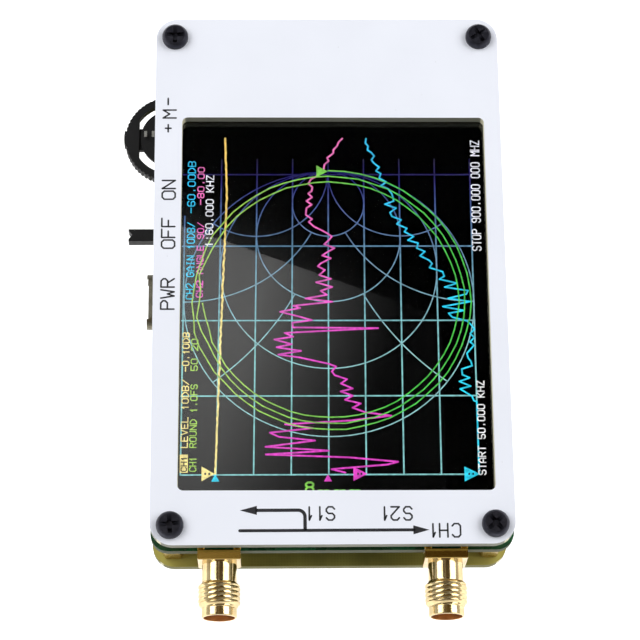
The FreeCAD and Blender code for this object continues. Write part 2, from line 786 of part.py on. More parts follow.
def jog_snap_dome():
    """A thin domed disc on the heel, bulging towards the carriage's lug."""
    rim_radius = 1.2
    bulge = HEEL_X - LUG_REACH - 0.02
    sheet = 0.08
    radius = (rim_radius**2 + bulge**2) / (2 * bulge)
    x, y = jog(HEEL_X - bulge + radius)
    z = BOARD_BOTTOM_Z - 2.3
    shell = Part.makeSphere(radius, Vector(x, y, z)).cut(Part.makeSphere(radius - sheet, Vector(x, y, z)))
    keep = jog_box((HEEL_X - bulge - 0.1, HEEL_X), (-2, 2), (z - 2, z + 2))
    return shell.common(keep)


def jog_carriage():
    """Disc that slides in with the wheel: a T-shaped key above it, a lug at its back."""
    disc = post(*jog(0), (DISC_BOTTOM_Z, DISC_TOP_Z), DISC_RADIUS)
    key_x = (KEY_LOW_X, KEY_HIGH_X)
    neck = jog_box(key_x, (-1.55, 1.55), (DISC_TOP_Z, JOG_BASE_Z + 0.4))
    key = jog_box(key_x, (-2.25, 2.25), (JOG_BASE_Z + 0.4, JOG_BASE_Z + 0.7))
    lug = jog_box((4.0, LUG_REACH), (-0.7, 0.7), (BOARD_BOTTOM_Z - 3.2, DISC_BOTTOM_Z))
    hole = post(*jog(0), (DISC_BOTTOM_Z, DISC_TOP_Z), PIVOT_RADIUS)
    return merged(disc.cut(hole), [neck, key, lug])


def jog_pivot():
    """Rivet that the wheel turns on."""
    head_top = HUB_BOTTOM_Z - 0.1
    pin = post(*jog(0), (head_top, DISC_TOP_Z), PIVOT_RADIUS)
    head = post(*jog(0), (head_top - 0.4, head_top), 1.1)
    return merged(pin, [head])


def polar(radius, degrees):
    angle = math.radians(degrees)
    return (JOG_X + radius * math.cos(angle), JOG_Y + radius * math.sin(angle))


def ring_sector(inner_radius, outer_radius, half_angle, z_range, tooth_depth=0.0, tooth_step=4.0):
    """Part of a ring centred on the -X side; its rim is toothed where a tooth depth is given."""
    low = 180 - half_angle
    high = 180 + half_angle
    steps = int(round(2 * half_angle / tooth_step))
    rim = []
    for k in range(steps):
        start = low + k * tooth_step
        rim.append(polar(outer_radius - tooth_depth, start))
        rim.append(polar(outer_radius, start + 0.3 * tooth_step))
        rim.append(polar(outer_radius, start + 0.7 * tooth_step))
    rim.append(polar(outer_radius - tooth_depth, high))
    corners = [Vector(x, y, z_range[0]) for x, y in rim]
    inner_end, inner_middle, inner_start = [
        Vector(*polar(inner_radius, angle), z_range[0]) for angle in (high, 180, low)
    ]
    edges = [Part.LineSegment(a, b).toShape() for a, b in zip(corners, corners[1:])]
    edges.append(Part.LineSegment(corners[-1], inner_end).toShape())
    edges.append(Part.Arc(inner_end, inner_middle, inner_start).toShape())
    edges.append(Part.LineSegment(inner_start, corners[0]).toShape())
    return Part.Face(Part.Wire(edges)).extrude(Vector(0, 0, z_range[1] - z_range[0]))


def jog_wheel():
    """Knurled lever ring, its thumb rest, three spokes and the hub that turns on the pivot."""
    ring_z = (RING_BOTTOM_Z, RING_TOP_Z)
    spoke_z = (RING_BOTTOM_Z, HUB_TOP_Z)
    ring = ring_sector(RING_INNER_RADIUS, RING_OUTER_RADIUS, RING_HALF_ANGLE, ring_z, 0.13)
    thumb_rest = ring_sector(RING_INNER_RADIUS, RING_OUTER_RADIUS + 0.27, 10, ring_z, 0.0)
    web_limit = jog_box((-RING_OUTER_RADIUS, -5.05), (-5, 5), ring_z)
    web = post(*jog(0), ring_z, RING_INNER_RADIUS + 0.1).common(web_limit)
    hub = post(*jog(0), (HUB_BOTTOM_Z, HUB_TOP_Z), HUB_RADIUS)
    front_spoke = jog_box((-5.2, -2), (-1.85, 1.85), spoke_z)
    side_spokes = [
        jog_box((-0.9, 0.9), sorted((side * 2.5, side * (RING_INNER_RADIUS + 0.3))), spoke_z)
        for side in (-1, 1)
    ]
    peg = jog_box((2.8, 3.3), (-0.55, 0.55), (HUB_BOTTOM_Z - 0.4, HUB_BOTTOM_Z))
    wheel = merged(ring, [thumb_rest, web, hub, front_spoke, peg] + side_spokes)
    bore = post(*jog(0), (HUB_BOTTOM_Z, HUB_TOP_Z), PIVOT_RADIUS + RUNNING_CLEARANCE)
    return wheel.cut(bore)


def jog_centering_spring():
    """A hairpin spring whose two legs straddle the wheel's peg and the carriage's lug."""
    z = HUB_BOTTOM_Z - 0.18
    loop = 1.6
    leg = 0.82
    path = [
        (*jog(4.5, leg), z),
        (*jog(2.7, leg), z),
        (*jog(1.2, loop), z),
        (*jog(-loop, loop), z),
        (*jog(-loop, -loop), z),
        (*jog(1.2, -loop), z),
        (*jog(2.7, -leg), z),
        (*jog(4.5, -leg), z),
    ]
    return wire_along(path, [0.6, 0.6, 1.4, 1.4, 0.6, 0.6], 0.1)


# ---- battery ----

def battery_tape():
    z_range = (BACK_INNER_Z, BACK_INNER_Z + BATTERY_TAPE_THICKNESS)
    return box(span(BATTERY_X, BATTERY_WIDTH - 6), span(BATTERY_Y, BATTERY_LENGTH - 6), z_range)


def battery_cell():
    """A flat pouch cell with soft edges."""
    bottom = BACK_INNER_Z + BATTERY_TAPE_THICKNESS
    cell = box(
        span(BATTERY_X, BATTERY_WIDTH), span(BATTERY_Y, BATTERY_LENGTH), (bottom, bottom + BATTERY_THICKNESS)
    )
    return cell.makeFillet(1.2, cell.Edges)


def battery_end_y():
    return BATTERY_Y + BATTERY_LENGTH / 2


def lead_start():
    """Where the leads leave the battery's protection board: (Y, Z)."""
    return (battery_end_y() + 3.2, BACK_INNER_Z + 2.1)


def battery_board():
    y_end, z_middle = lead_start()
    return box(span(BATTERY_X, 24.0), (battery_end_y(), y_end), span(z_middle, 0.9))


def battery_leads():
    start_y, start_z = lead_start()
    leads = []
    for side in (-1, 1):
        x = LEAD_X + side * LEAD_PITCH / 2
        path = [
            (x, start_y, start_z),
            (x, start_y + 2.9, start_z),
            (x, LEAD_PLUG_Y - 2.7, LEAD_PLUG_Z),
            (x, LEAD_PLUG_Y, LEAD_PLUG_Z),
        ]
        leads.append(wire_along(path, [2.2, 2.2], LEAD_RADIUS))
    return group(leads)


def battery_plug():
    body = box(span(LEAD_X, 3.9), (LEAD_PLUG_Y, LEAD_PLUG_Y + 3.6), span(LEAD_PLUG_Z, 2.2))
    rib = box(span(LEAD_X, 1.6), (LEAD_PLUG_Y, LEAD_PLUG_Y + 1.2), span(LEAD_PLUG_Z - 1.3, 0.4))
    return merged(body, [rib])


def battery_socket():
    y_range = (LEAD_PLUG_Y + 1.2, LEAD_PLUG_Y + 5.0)
    outer = box(span(LEAD_X, 5.0), y_range, (BOARD_BOTTOM_Z - 3.2, BOARD_BOTTOM_Z))
    cavity = box(span(LEAD_X, 4.0), (y_range[0], LEAD_PLUG_Y + 3.7), span(LEAD_PLUG_Z, 2.3))
    return outer.cut(cavity)


# ---- electronics under the main board ----

def hanging_block(x, y, size):
    """A component of the given X, Y, Z size, soldered under the main board."""
    return box(span(x, size[0]), span(y, size[1]), (BOARD_BOTTOM_Z - size[2], BOARD_BOTTOM_Z))


def leaded_chip(x, y, size, lead_count, lead_pitch, sides):
    """A moulded chip held off the board by rows of feet on the named sides."""
    feet = 0.15
    body = box(
        span(x, size[0]), span(y, size[1]), (BOARD_BOTTOM_Z - feet - size[2], BOARD_BOTTOM_Z - feet)
    )
    feet_z = (BOARD_BOTTOM_Z - feet - 0.4, BOARD_BOTTOM_Z)
    reach = 0.8
    legs = []
    for k in range(lead_count):
        shift = (k - (lead_count - 1) / 2) * lead_pitch
        for side in (-1, 1):
            if "x" in sides:
                x_edge = x + side * size[0] / 2
                legs.append(box(sorted((x_edge, x_edge + side * reach)), span(y + shift, 0.25), feet_z))
            if "y" in sides:
                y_edge = y + side * size[1] / 2
                legs.append(box(span(x + shift, 0.25), sorted((y_edge, y_edge + side * reach)), feet_z))
    return merged(body, legs)


def microcontroller():
    return leaded_chip(6.0, -12.0, (7.0, 7.0, 1.2), 12, 0.5, "xy")


def charger_chip():
    return leaded_chip(-9.0, 11.0, (4.9, 3.9, 1.3), 4, 1.0, "y")


def mixer_chips():
    return group([leaded_chip(x, -31.5, (5.0, 3.6, 0.9), 7, 0.6, "y") for x in (-8.0, 0.0, 8.0)])


def clock_generator():
    return hanging_block(-14.0, -20.0, (3.0, 3.0, 0.75))


def audio_converter():
    return hanging_block(-5.5, -18.0, (5.0, 5.0, 0.85))


def reference_oscillator():
    return hanging_block(-14.0, -14.5, (2.5, 2.0, 0.8))


def voltage_regulators():
    return group([leaded_chip(x, 2.5, (2.9, 1.6, 1.0), 2, 1.9, "y") for x in (-12.0, -5.0)])


def power_inductor():
    coil = hanging_block(-2.0, 11.0, (4.0, 4.0, 1.8))
    return coil.makeChamfer(0.6, [e for e in coil.Edges if e.tangentAt(0).cross(Z_AXIS).Length < 1e-6])


def ceramic_capacitors():
    """Rows of small capacitors beside the chips they serve."""
    rows = [(-16.5, -24.0, 6), (-2.0, -22.5, 5), (12.5, -16.0, 4), (-14.0, 6.5, 5), (12.5, 4.0, 4)]
    solids = []
    for x, y, count in rows:
        solids += [hanging_block(x + 1.9 * k, y, (0.8, 1.6, 0.8)) for k in range(count)]
    return group(solids)


def chip_resistors():
    rows = [(-18.0, -10.0, 5), (0.5, -5.0, 6), (12.5, -8.0, 5), (-12.0, 15.5, 4)]
    solids = []
    for x, y, count in rows:
        solids += [hanging_block(x + 1.5 * k, y, (0.5, 1.0, 0.35)) for k in range(count)]
    return group(solids)


def status_lamps():
    return group([hanging_block(-24.6, y, (0.8, 1.6, 0.6)) for y in (-12.0, -15.0)])


def shield_can():
    """A folded tin cover over the mixers, open against the board."""
    sheet = 0.2
    outer = hanging_block(0.0, -31.5, (25.0, 9.0, 2.0))
    inner = hanging_block(0.0, -31.5, (25.0 - 2 * sheet, 9.0 - 2 * sheet, 2.0 - sheet))
    return outer.cut(inner)


def build():
    os.makedirs("parts", exist_ok=True)
    save("front_panel", front_panel())
    save("back_panel", blank_plate(BACK_PANEL_Z, PANEL_CORNER_RADIUS, BACK_PANEL_OFFSET))
    save("main_board", main_board())
    save("power_switch_terminals", group(switch_terminals()))
    for name, x, tailed in (("port_one", -PORT_X, True), ("port_two", PORT_X, False)):
        save(name + "_body", port_body(x, tailed))
        save(name + "_insulator", port_insulator(x))
        save(name + "_contact", port_contact(x))
    plain_parts = [
        front_screws, back_screws, front_spacers, board_standoffs,
        display_tape, display_tray, light_guide, backlight_lamps, diffuser_film, display_cell,
        display_driver, touch_adhesive, touch_panel, touch_tail, display_ribbon, ribbon_socket,
        data_port_shell, data_port_tongue, data_port_contacts,
        power_switch_cover, power_switch_base, power_switch_knob, power_switch_wiper,
        jog_base, jog_terminals, jog_snap_dome, jog_carriage, jog_pivot, jog_wheel,
        jog_centering_spring,
        battery_tape, battery_cell, battery_board, battery_leads, battery_plug, battery_socket,
        microcontroller, charger_chip, mixer_chips, clock_generator, audio_converter,
        reference_oscillator, voltage_regulators, power_inductor, ceramic_capacitors,
        chip_resistors, status_lamps, shield_can,
    ]
    for maker in plain_parts:
        save(maker.__name__, maker())


build()
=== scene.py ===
import json
import math
import random

import bmesh
import bpy
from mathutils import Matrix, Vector


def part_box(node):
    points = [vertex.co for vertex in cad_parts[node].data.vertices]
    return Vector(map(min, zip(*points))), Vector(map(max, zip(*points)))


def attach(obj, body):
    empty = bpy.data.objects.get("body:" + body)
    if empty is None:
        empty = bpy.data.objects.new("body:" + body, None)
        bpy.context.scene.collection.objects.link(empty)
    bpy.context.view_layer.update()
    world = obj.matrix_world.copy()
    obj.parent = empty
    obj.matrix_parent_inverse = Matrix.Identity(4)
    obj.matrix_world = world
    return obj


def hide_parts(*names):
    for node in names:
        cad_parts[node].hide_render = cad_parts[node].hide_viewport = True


# Handheld vector network analyzer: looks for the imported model.
# Lengths below are in millimetres in the model's own frame; meshes are scaled to metres when made.

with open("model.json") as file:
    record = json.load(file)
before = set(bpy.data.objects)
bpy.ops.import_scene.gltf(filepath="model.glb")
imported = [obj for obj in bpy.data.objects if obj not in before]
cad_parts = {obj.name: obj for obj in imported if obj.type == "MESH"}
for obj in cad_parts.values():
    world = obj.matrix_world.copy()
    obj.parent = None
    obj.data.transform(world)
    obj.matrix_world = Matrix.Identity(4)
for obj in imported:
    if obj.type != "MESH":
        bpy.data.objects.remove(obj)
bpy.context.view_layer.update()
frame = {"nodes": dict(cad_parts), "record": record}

MM = 0.001
BODY = "chassis"


def box_mm(node):
    """Lowest and highest corner of a CAD node, in millimetres."""
    low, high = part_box(node)
    return low / MM, high / MM


def middle_of(node):
    """X, Y and Z of the middle of a CAD node, in millimetres."""
    return [(low + high) / 2 for low, high in zip(*box_mm(node))]


PANEL_TOP = box_mm("front_panel")[1].z
BOARD_LOW, BOARD_HIGH = box_mm("main_board")
TOUCH_LOW, TOUCH_HIGH = box_mm("touch_panel")
PICTURE_Z = (box_mm("display_cell")[1].z + TOUCH_LOW.z) / 2
PORT_X, _, PORT_Z = middle_of("port_two_contact")
FLANGE_THICKNESS = 1.5
FLANGE_FRONT = BOARD_LOW.y - FLANGE_THICKNESS
MOUTH_SHADE_RADIUS = 2.35
BLACK = (0.0, 0.0, 0.0, 1.0)
WHITE = (1.0, 1.0, 1.0, 1.0)


# ---- materials ----

def linear(colour):
    """Three 0 to 255 display values as the shader wants them; sockets and shader colours stay."""
    if not isinstance(colour, tuple) or len(colour) == 4:
        return colour
    shares = [value / 255 for value in colour]
    return (*[s / 12.92 if s <= 0.04045 else ((s + 0.055) / 1.055) ** 2.4 for s in shares], 1.0)


class Finish:
    """One procedural material, built node by node around a Principled surface."""

    def __init__(self, name, colour, roughness, metallic=0.0, **constants):
        self.material = bpy.data.materials.new(name)
        self.material.use_nodes = True
        self.nodes = self.material.node_tree.nodes
        self.links = self.material.node_tree.links
        self.surface = self.nodes["Principled BSDF"]
        self.surface.inputs["Base Color"].default_value = linear(colour)
        self.surface.inputs["Roughness"].default_value = roughness
        self.surface.inputs["Metallic"].default_value = metallic
        for socket, value in constants.items():
            self.surface.inputs[socket.replace("_", " ")].default_value = value
        self.place = self.node("ShaderNodeTexCoord").outputs["Object"]
        self.place = self.stretched(1 / MM, 1 / MM, 1 / MM)

    def node(self, kind, inputs=(), **settings):
        made = self.nodes.new(kind)
        for name, value in settings.items():
            setattr(made, name, value)
        pairs = inputs.items() if isinstance(inputs, dict) else enumerate(inputs)
        for key, value in pairs:
            if isinstance(value, bpy.types.NodeSocket):
                self.links.new(value, made.inputs[key])
            elif value is not None:
                made.inputs[key].default_value = value
        return made

    def math(self, operation, *values):
        return self.node("ShaderNodeMath", values, operation=operation).outputs[0]

    def axis(self, letter):
        """X, Y or Z of the surface point, in millimetres."""
        return self.node("ShaderNodeSeparateXYZ", [self.place]).outputs[letter]

    def stretched(self, x, y, z):
        inputs = [self.place, (x, y, z)]
        return self.node("ShaderNodeVectorMath", inputs, operation="MULTIPLY").outputs[0]

    def noise(self, size, detail=3.0, place=None):
        """Soft noise, 0 to 1, whose blotches are about this many millimetres across."""
        inputs = {"Vector": place or self.place, "Scale": 1 / size, "Detail": detail}
        return self.node("ShaderNodeTexNoise", inputs).outputs["Fac"]

    def cells(self, size):
        """Distance to the nearest random point, for grains and specks."""
        inputs = {"Vector": self.place, "Scale": 1 / size}
        return self.node("ShaderNodeTexVoronoi", inputs).outputs["Distance"]

    def stripes(self, letter, pitch):
        """0 to 1 waves along one axis."""
        turn = self.math("MULTIPLY", self.axis(letter), 2 * math.pi / pitch)
        return self.math("MULTIPLY_ADD", self.math("SINE", turn), 0.5, 0.5)

    def ramp(self, value, start, end, low=0.0, high=1.0):
        return self.node("ShaderNodeMapRange", [value, start, end, low, high]).outputs[0]

    def blend(self, share, first, second):
        inputs = {0: share, 6: linear(first), 7: linear(second)}
        return self.node("ShaderNodeMix", inputs, data_type="RGBA").outputs[2]

    def facing(self, letter, start, end):
        """How far the surface faces along an axis, as a 0 to 1 mask."""
        normal = self.node("ShaderNodeNewGeometry").outputs["Normal"]
        part = self.node("ShaderNodeSeparateXYZ", [normal]).outputs[letter]
        return self.ramp(part, start, end)

    def colour(self, share, first, second):
        self.links.new(self.blend(share, first, second), self.surface.inputs["Base Color"])

    def rough(self, socket):
        self.links.new(socket, self.surface.inputs["Roughness"])

    def glow(self, socket):
        self.links.new(socket, self.surface.inputs["Emission Color"])

    def bump(self, height, depth):
        """Raises the surface by up to this many millimetres where the height is 1."""
        inputs = {"Strength": 1.0, "Distance": depth * MM, "Height": height}
        normal = self.node("ShaderNodeBump", inputs).outputs[0]
        self.links.new(normal, self.surface.inputs["Normal"])

    def masked_gloss(self, mask, low, high, size, detail=3.0):
        """Glossy where the mask is 1, matt elsewhere."""
        gloss = self.ramp(self.noise(size, detail), 0.3, 0.7, low, high)
        polish = self.math("MULTIPLY", mask, self.math("SUBTRACT", MATT, gloss))
        self.rough(self.math("SUBTRACT", MATT, polish))


MATT = 0.95
WHITE_COATING = (238, 241, 250)
WHITE_COATING_DULL = (235, 238, 247)
PANEL_EDGE = ((152, 154, 142), (122, 123, 110))
# Painted shade: the main board's cut edge is painted darker than the front panel's.
BOARD_EDGE_PAINTED_SHADE = ((104, 108, 92), (78, 82, 66))
# Painted shade: the back panel's cut edge is painted darker and more olive than the front panel's.
BACK_EDGE_PAINTED_SHADE = ((138, 136, 96), (112, 110, 74))
# Painted light: the window's walls are painted a paler cream than the panel's outer cut edge.
WINDOW_WALL_PAINTED_LIGHT = ((236, 232, 204), (206, 200, 166))
SPECK = (112, 108, 88)
BARE_LAMINATE = (150, 142, 66)
BARE_LAMINATE_DARK = (118, 110, 48)
# Painted light: the bare laminate's paler tone near the panel's ends, where more light gets in under the
# board.
BARE_LAMINATE_PAINTED_LIGHT = (184, 176, 92)
GREEN_COATING = (20, 92, 58)
GREEN_COATING_DARK = (12, 66, 42)
LAYER_PITCH = 0.2
CLOTH_PITCH = 0.45


def laminate_edge(finish, light, dark):
    """Colour of a cut edge: thin layers of glass cloth in resin, with saw marks."""
    layers = finish.stripes("Z", LAYER_PITCH)
    streaks = finish.noise(0.25, 2.0, finish.stretched(1, 1, 6))
    return finish.blend(finish.math("MULTIPLY", layers, streaks), light, dark)


def weave_height(finish):
    """Glass cloth showing through resin."""
    return finish.math("MULTIPLY", finish.stripes("X", CLOTH_PITCH), finish.stripes("Y", CLOTH_PITCH))


def either_way(finish, letter):
    """A mask that is 1 where the surface faces up or down this axis."""
    return finish.math("MAXIMUM", finish.facing(letter, 0.5, 0.51), finish.facing(letter, -0.5, -0.51))


def white_panel(name, outward, edge_colours):
    """White coating on the outward face, bare laminate on the inner one, cut layers round the edge. The bare
    laminate is painted paler towards the ends, and the window's walls are painted paler than the other cut
    edges, both as painted light.
    """
    finish = Finish(name, WHITE_COATING, 0.32)
    clouding = finish.ramp(finish.noise(14.0), 0.35, 0.7)
    coating = finish.blend(clouding, WHITE_COATING, WHITE_COATING_DULL)
    specks = finish.ramp(finish.cells(2.6), 0.028, 0.02)
    coating = finish.blend(finish.math("MULTIPLY", specks, 0.35), coating, SPECK)
    weave = finish.math("MULTIPLY", weave_height(finish), 0.4)
    bare = finish.blend(weave, BARE_LAMINATE, BARE_LAMINATE_DARK)
    bare = finish.blend(finish.ramp(finish.noise(6.0), 0.4, 0.7, 0.0, 0.7), bare, BARE_LAMINATE_DARK)
    # Painted light: the bare laminate is painted paler towards the panel's left and right ends.
    painted_light_toward_ends = finish.ramp(finish.math("ABSOLUTE", finish.axis("X")), 12.0, 25.0)
    bare = finish.blend(painted_light_toward_ends, bare, BARE_LAMINATE_PAINTED_LIGHT)
    inner_side = finish.facing("Z", -0.5 * outward, -0.51 * outward)
    outer_side = finish.facing("Z", 0.5 * outward, 0.51 * outward)
    inside = finish.ramp(finish.math("ABSOLUTE", finish.axis("X")), 26.0, 25.9)
    # Painted light: the window's walls get the paler cream edge colours.
    painted_light_wall = finish.math("MULTIPLY", inside, either_way(finish, "X"))
    cut_edge = laminate_edge(finish, *edge_colours)
    edge = finish.blend(painted_light_wall, cut_edge, laminate_edge(finish, *WINDOW_WALL_PAINTED_LIGHT))
    colour = finish.blend(inner_side, edge, bare)
    finish.colour(outer_side, colour, coating)
    finish.masked_gloss(outer_side, 0.3, 0.36, 6.0, 1.0)
    finish.bump(finish.noise(3.0, 1.0), 0.0015)
    return finish.material


def green_board(name):
    finish = Finish(name, GREEN_COATING, 0.3)
    pours = finish.ramp(finish.noise(5.0, 1.0), 0.49, 0.51)
    coating = finish.blend(pours, GREEN_COATING_DARK, GREEN_COATING)
    flat_side = either_way(finish, "Z")
    # The cut edge's colours are painted darker, as painted shade.
    finish.colour(flat_side, laminate_edge(finish, *BOARD_EDGE_PAINTED_SHADE), coating)
    finish.masked_gloss(flat_side, 0.22, 0.34, 2.0)
    finish.bump(pours, 0.02)
    return finish.material


def metal(name, colour, worn, roughness, grain=0.05, sheen=0.012):
    """Plated or turned metal: fine scratches, blotchy tarnish and a little waviness."""
    finish = Finish(name, colour, roughness, 1.0)
    tarnish = finish.ramp(finish.noise(1.6), 0.4, 0.75)
    finish.colour(tarnish, colour, worn)
    scratches = finish.noise(grain, 4.0, finish.stretched(0.25, 3.0, 1.0))
    finish.rough(finish.ramp(scratches, 0.25, 0.75, roughness * 0.7, roughness * 1.4))
    finish.bump(scratches, sheen * grain)
    return finish.material


def port_gold(name):
    """Bright gold plate. The mouth is painted browner, as painted shade inside the recess, and is rougher;
    the flange is painted a deeper gold, as painted shade.
    """
    colour, worn = (232, 210, 160), (212, 186, 134)
    finish = Finish(name, colour, 0.13, 1.0)
    outside = finish.blend(finish.ramp(finish.noise(1.6), 0.4, 0.75), colour, worn)
    # Painted shade: the flange and legs are painted a deeper, darker gold than the barrel, standing in for
    # the dim reflections on them.
    flange_painted_shade = finish.ramp(finish.axis("Y"), FLANGE_FRONT + 0.01, FLANGE_FRONT + 0.08)
    outside = finish.blend(flange_painted_shade, outside, (216, 178, 88))
    across = finish.math("SUBTRACT", finish.math("ABSOLUTE", finish.axis("X")), PORT_X)
    upward = finish.math("SUBTRACT", finish.axis("Z"), PORT_Z)
    squares = finish.math("ADD", finish.math("POWER", across, 2.0), finish.math("POWER", upward, 2.0))
    # Painted shade: inside the mouth the plating is painted brown.
    mouth_painted_shade = finish.ramp(finish.math("SQRT", squares), MOUTH_SHADE_RADIUS + 0.01, MOUTH_SHADE_RADIUS - 0.01)
    finish.colour(mouth_painted_shade, outside, (200, 144, 88))
    scratches = finish.noise(0.05, 4.0, finish.stretched(1.0, 0.2, 1.0))
    polish = finish.ramp(scratches, 0.25, 0.75, 0.09, 0.19)
    finish.rough(finish.math("MAXIMUM", polish, finish.math("MULTIPLY", mouth_painted_shade, 0.45)))
    finish.bump(scratches, 0.0005)
    return finish.material


def plastic(name, colour, worn, roughness, grain=0.12, depth=0.01, **constants):
    """Moulded plastic: a fine spark texture and faint rubbed patches."""
    finish = Finish(name, colour, roughness, **constants)
    rubbed = finish.ramp(finish.noise(1.8), 0.45, 0.8)
    finish.colour(rubbed, colour, worn)
    finish.rough(finish.ramp(finish.noise(0.8), 0.3, 0.7, roughness * 0.85, roughness * 1.15))
    finish.bump(finish.noise(grain, 2.0), depth)
    return finish.material


def clear(name, colour, roughness, index=1.5):
    finish = Finish(name, colour, roughness, Transmission_Weight=1.0, IOR=index)
    finish.rough(finish.ramp(finish.noise(4.0), 0.3, 0.7, roughness * 0.6, roughness * 1.4))
    return finish.material


def crimped_foil(name):
    finish = Finish(name, (205, 207, 210), 0.3, 1.0)
    finish.colour(finish.noise(3.0), (212, 214, 217), (176, 178, 182))
    finish.rough(finish.ramp(finish.noise(0.6), 0.3, 0.7, 0.22, 0.42))
    finish.bump(finish.noise(2.2, 4.0), 0.15)
    return finish.material


def lead_insulation(name):
    """One black and one red lead, side by side."""
    finish = Finish(name, (170, 20, 22), 0.4)
    low, high = box_mm("battery_leads")
    middle = (low.x + high.x) / 2
    red_side = finish.ramp(finish.axis("X"), middle - 0.01, middle + 0.01)
    dusty = finish.noise(0.7)
    black = finish.blend(dusty, (22, 22, 24), (40, 40, 42))
    red = finish.blend(dusty, (176, 22, 24), (146, 18, 20))
    finish.colour(red_side, black, red)
    finish.bump(finish.noise(0.2), 0.01)
    return finish.material


def leaded_chip(node, body_half, axes):
    """A moulded package whose leads, beyond the body's sides, are tinned metal."""
    finish = Finish(node + "_resin", (34, 34, 36), 0.55)
    middle = dict(zip("XYZ", middle_of(node)))
    outside = None
    for letter in axes:
        offset = finish.math("ABSOLUTE", finish.math("SUBTRACT", finish.axis(letter), middle[letter]))
        mask = finish.ramp(offset, body_half + 0.005, body_half + 0.015)
        outside = mask if outside is None else finish.math("MAXIMUM", outside, mask)
    resin = finish.blend(finish.noise(0.5), (30, 30, 32), (44, 44, 46))
    tin = finish.blend(finish.noise(0.3), (214, 214, 210), (168, 168, 164))
    finish.colour(outside, resin, tin)
    finish.links.new(outside, finish.surface.inputs["Metallic"])
    finish.rough(finish.ramp(outside, 0.0, 1.0, 0.56, 0.3))
    finish.bump(finish.noise(0.08, 2.0), 0.006)
    return finish.material


# Colour, worn colour, roughness, then any size of grain and depth of relief.
METALS = {
    "black_screw": ((50, 50, 58), (68, 68, 76), 0.36, 0.2),
    "standoff_brass": ((204, 178, 116), (190, 162, 100), 0.22, 0.08, 0.006),
    "contact_gold": ((236, 200, 122), (222, 178, 96), 0.2),
    "tin_steel": ((196, 196, 190), (168, 166, 160), 0.3),
    "nickel_shell": ((150, 146, 132), (118, 112, 96), 0.3),
}
PLASTICS = {
    "white_insulator": ((236, 236, 228), (222, 221, 210), 0.5),
    "display_glass": ((2, 2, 3), (4, 4, 5), 0.1, 3.0, 0.001),
    "white_film": ((238, 238, 238), (228, 228, 226), 0.6, 1.0, 0.01),
    "chip_plastic": ((34, 34, 36), (46, 46, 47), 0.55, 0.08),
    "amber_flex": ((176, 108, 40), (150, 86, 30), 0.25, 1.0, 0.01),
    "adhesive_tape": ((226, 222, 208), (206, 200, 182), 0.6, 0.5),
    "cream_plastic": ((232, 224, 200), (220, 208, 180), 0.45),
    "tan_board": ((176, 132, 76), (150, 108, 60), 0.6, 0.2, 0.02),
    "tan_ceramic": ((176, 146, 104), (158, 128, 88), 0.45, 0.1),
    "black_ceramic": ((42, 42, 44), (58, 58, 60), 0.5, 0.1),
    "lamp_lens": ((240, 232, 170), (228, 214, 140), 0.2, 0.4),
}
MATERIALS = {name: metal(name, *look) for name, look in METALS.items()}
MATERIALS |= {name: plastic(name, *look) for name, look in PLASTICS.items()}
MATERIALS |= {
    "green_board": green_board("green_board"),
    "port_gold": port_gold("port_gold"),
    "touch_glass": clear("touch_glass", (0.97, 0.98, 0.98, 1.0), 0.01),
    "clear_acrylic": clear("clear_acrylic", (0.9, 0.93, 0.95, 1.0), 0.08, 1.49),
    "black_plastic": plastic("black_plastic", (5, 5, 8), (10, 10, 14), 0.5, Specular_IOR_Level=0.3),
    "battery_foil": crimped_foil("battery_foil"),
    "lead_insulation": lead_insulation("lead_insulation"),
}
NODE_MATERIALS = {
    "front_panel": white_panel("white_front", 1, PANEL_EDGE),
    # The back panel's cut edge is painted darker, as painted shade.
    "back_panel": white_panel("white_back", -1, BACK_EDGE_PAINTED_SHADE),
}
# Half the width of the moulded body, and the axes along which its leads stick out.
LEADED_CHIPS = {
    "microcontroller": (3.5, "XY"),
    "charger_chip": (1.95, "Y"),
    "voltage_regulators": (0.85, "Y"),
}
NODE_MATERIALS |= {node: leaded_chip(node, *shape) for node, shape in LEADED_CHIPS.items()}


def dress_cad_nodes():
    """Gives every CAD node the finish that its material slot names."""
    for part in frame["record"]["subparts"]:
        node = part["node"]
        material = NODE_MATERIALS.get(node) or MATERIALS[part["material_slot"]]
        shape = frame["nodes"][node]
        if not shape.material_slots:
            shape.data.materials.append(material)
        for slot in shape.material_slots:
            slot.material = material


# ---- meshes made here ----

SHARP_ANGLE = 35
UP = Vector((0, 0, 1))


def place_object(name, data):
    made = bpy.data.objects.new(name, data)
    bpy.context.scene.collection.objects.link(made)
    return made


def ring_angles(count):
    return [2 * math.pi * k / count for k in range(count)]


class Form:
    """Corner points, in millimetres, and faces of one piece."""

    def __init__(self):
        self.points = []
        self.faces = []

    def add(self, points, faces):
        first = len(self.points)
        self.points += [tuple(point) for point in points]
        self.faces += [[first + corner for corner in face] for face in faces]

    def piece(self, name, look, body=BODY, smooth=False):
        """Makes the piece. Its look is a CAD material slot's name, or a material of its own."""
        mesh = bpy.data.meshes.new(name)
        mesh.from_pydata([Vector(point) * MM for point in self.points], [], self.faces)
        mesh.materials.append(MATERIALS.get(look, look))
        shell = bmesh.new()
        shell.from_mesh(mesh)
        bmesh.ops.recalc_face_normals(shell, faces=shell.faces)
        shell.to_mesh(mesh)
        shell.free()
        if smooth:
            mesh.polygons.foreach_set("use_smooth", [True] * len(mesh.polygons))
            mesh.set_sharp_from_angle(angle=math.radians(SHARP_ANGLE))
        made = place_object(name, mesh)
        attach(made, body)
        return made


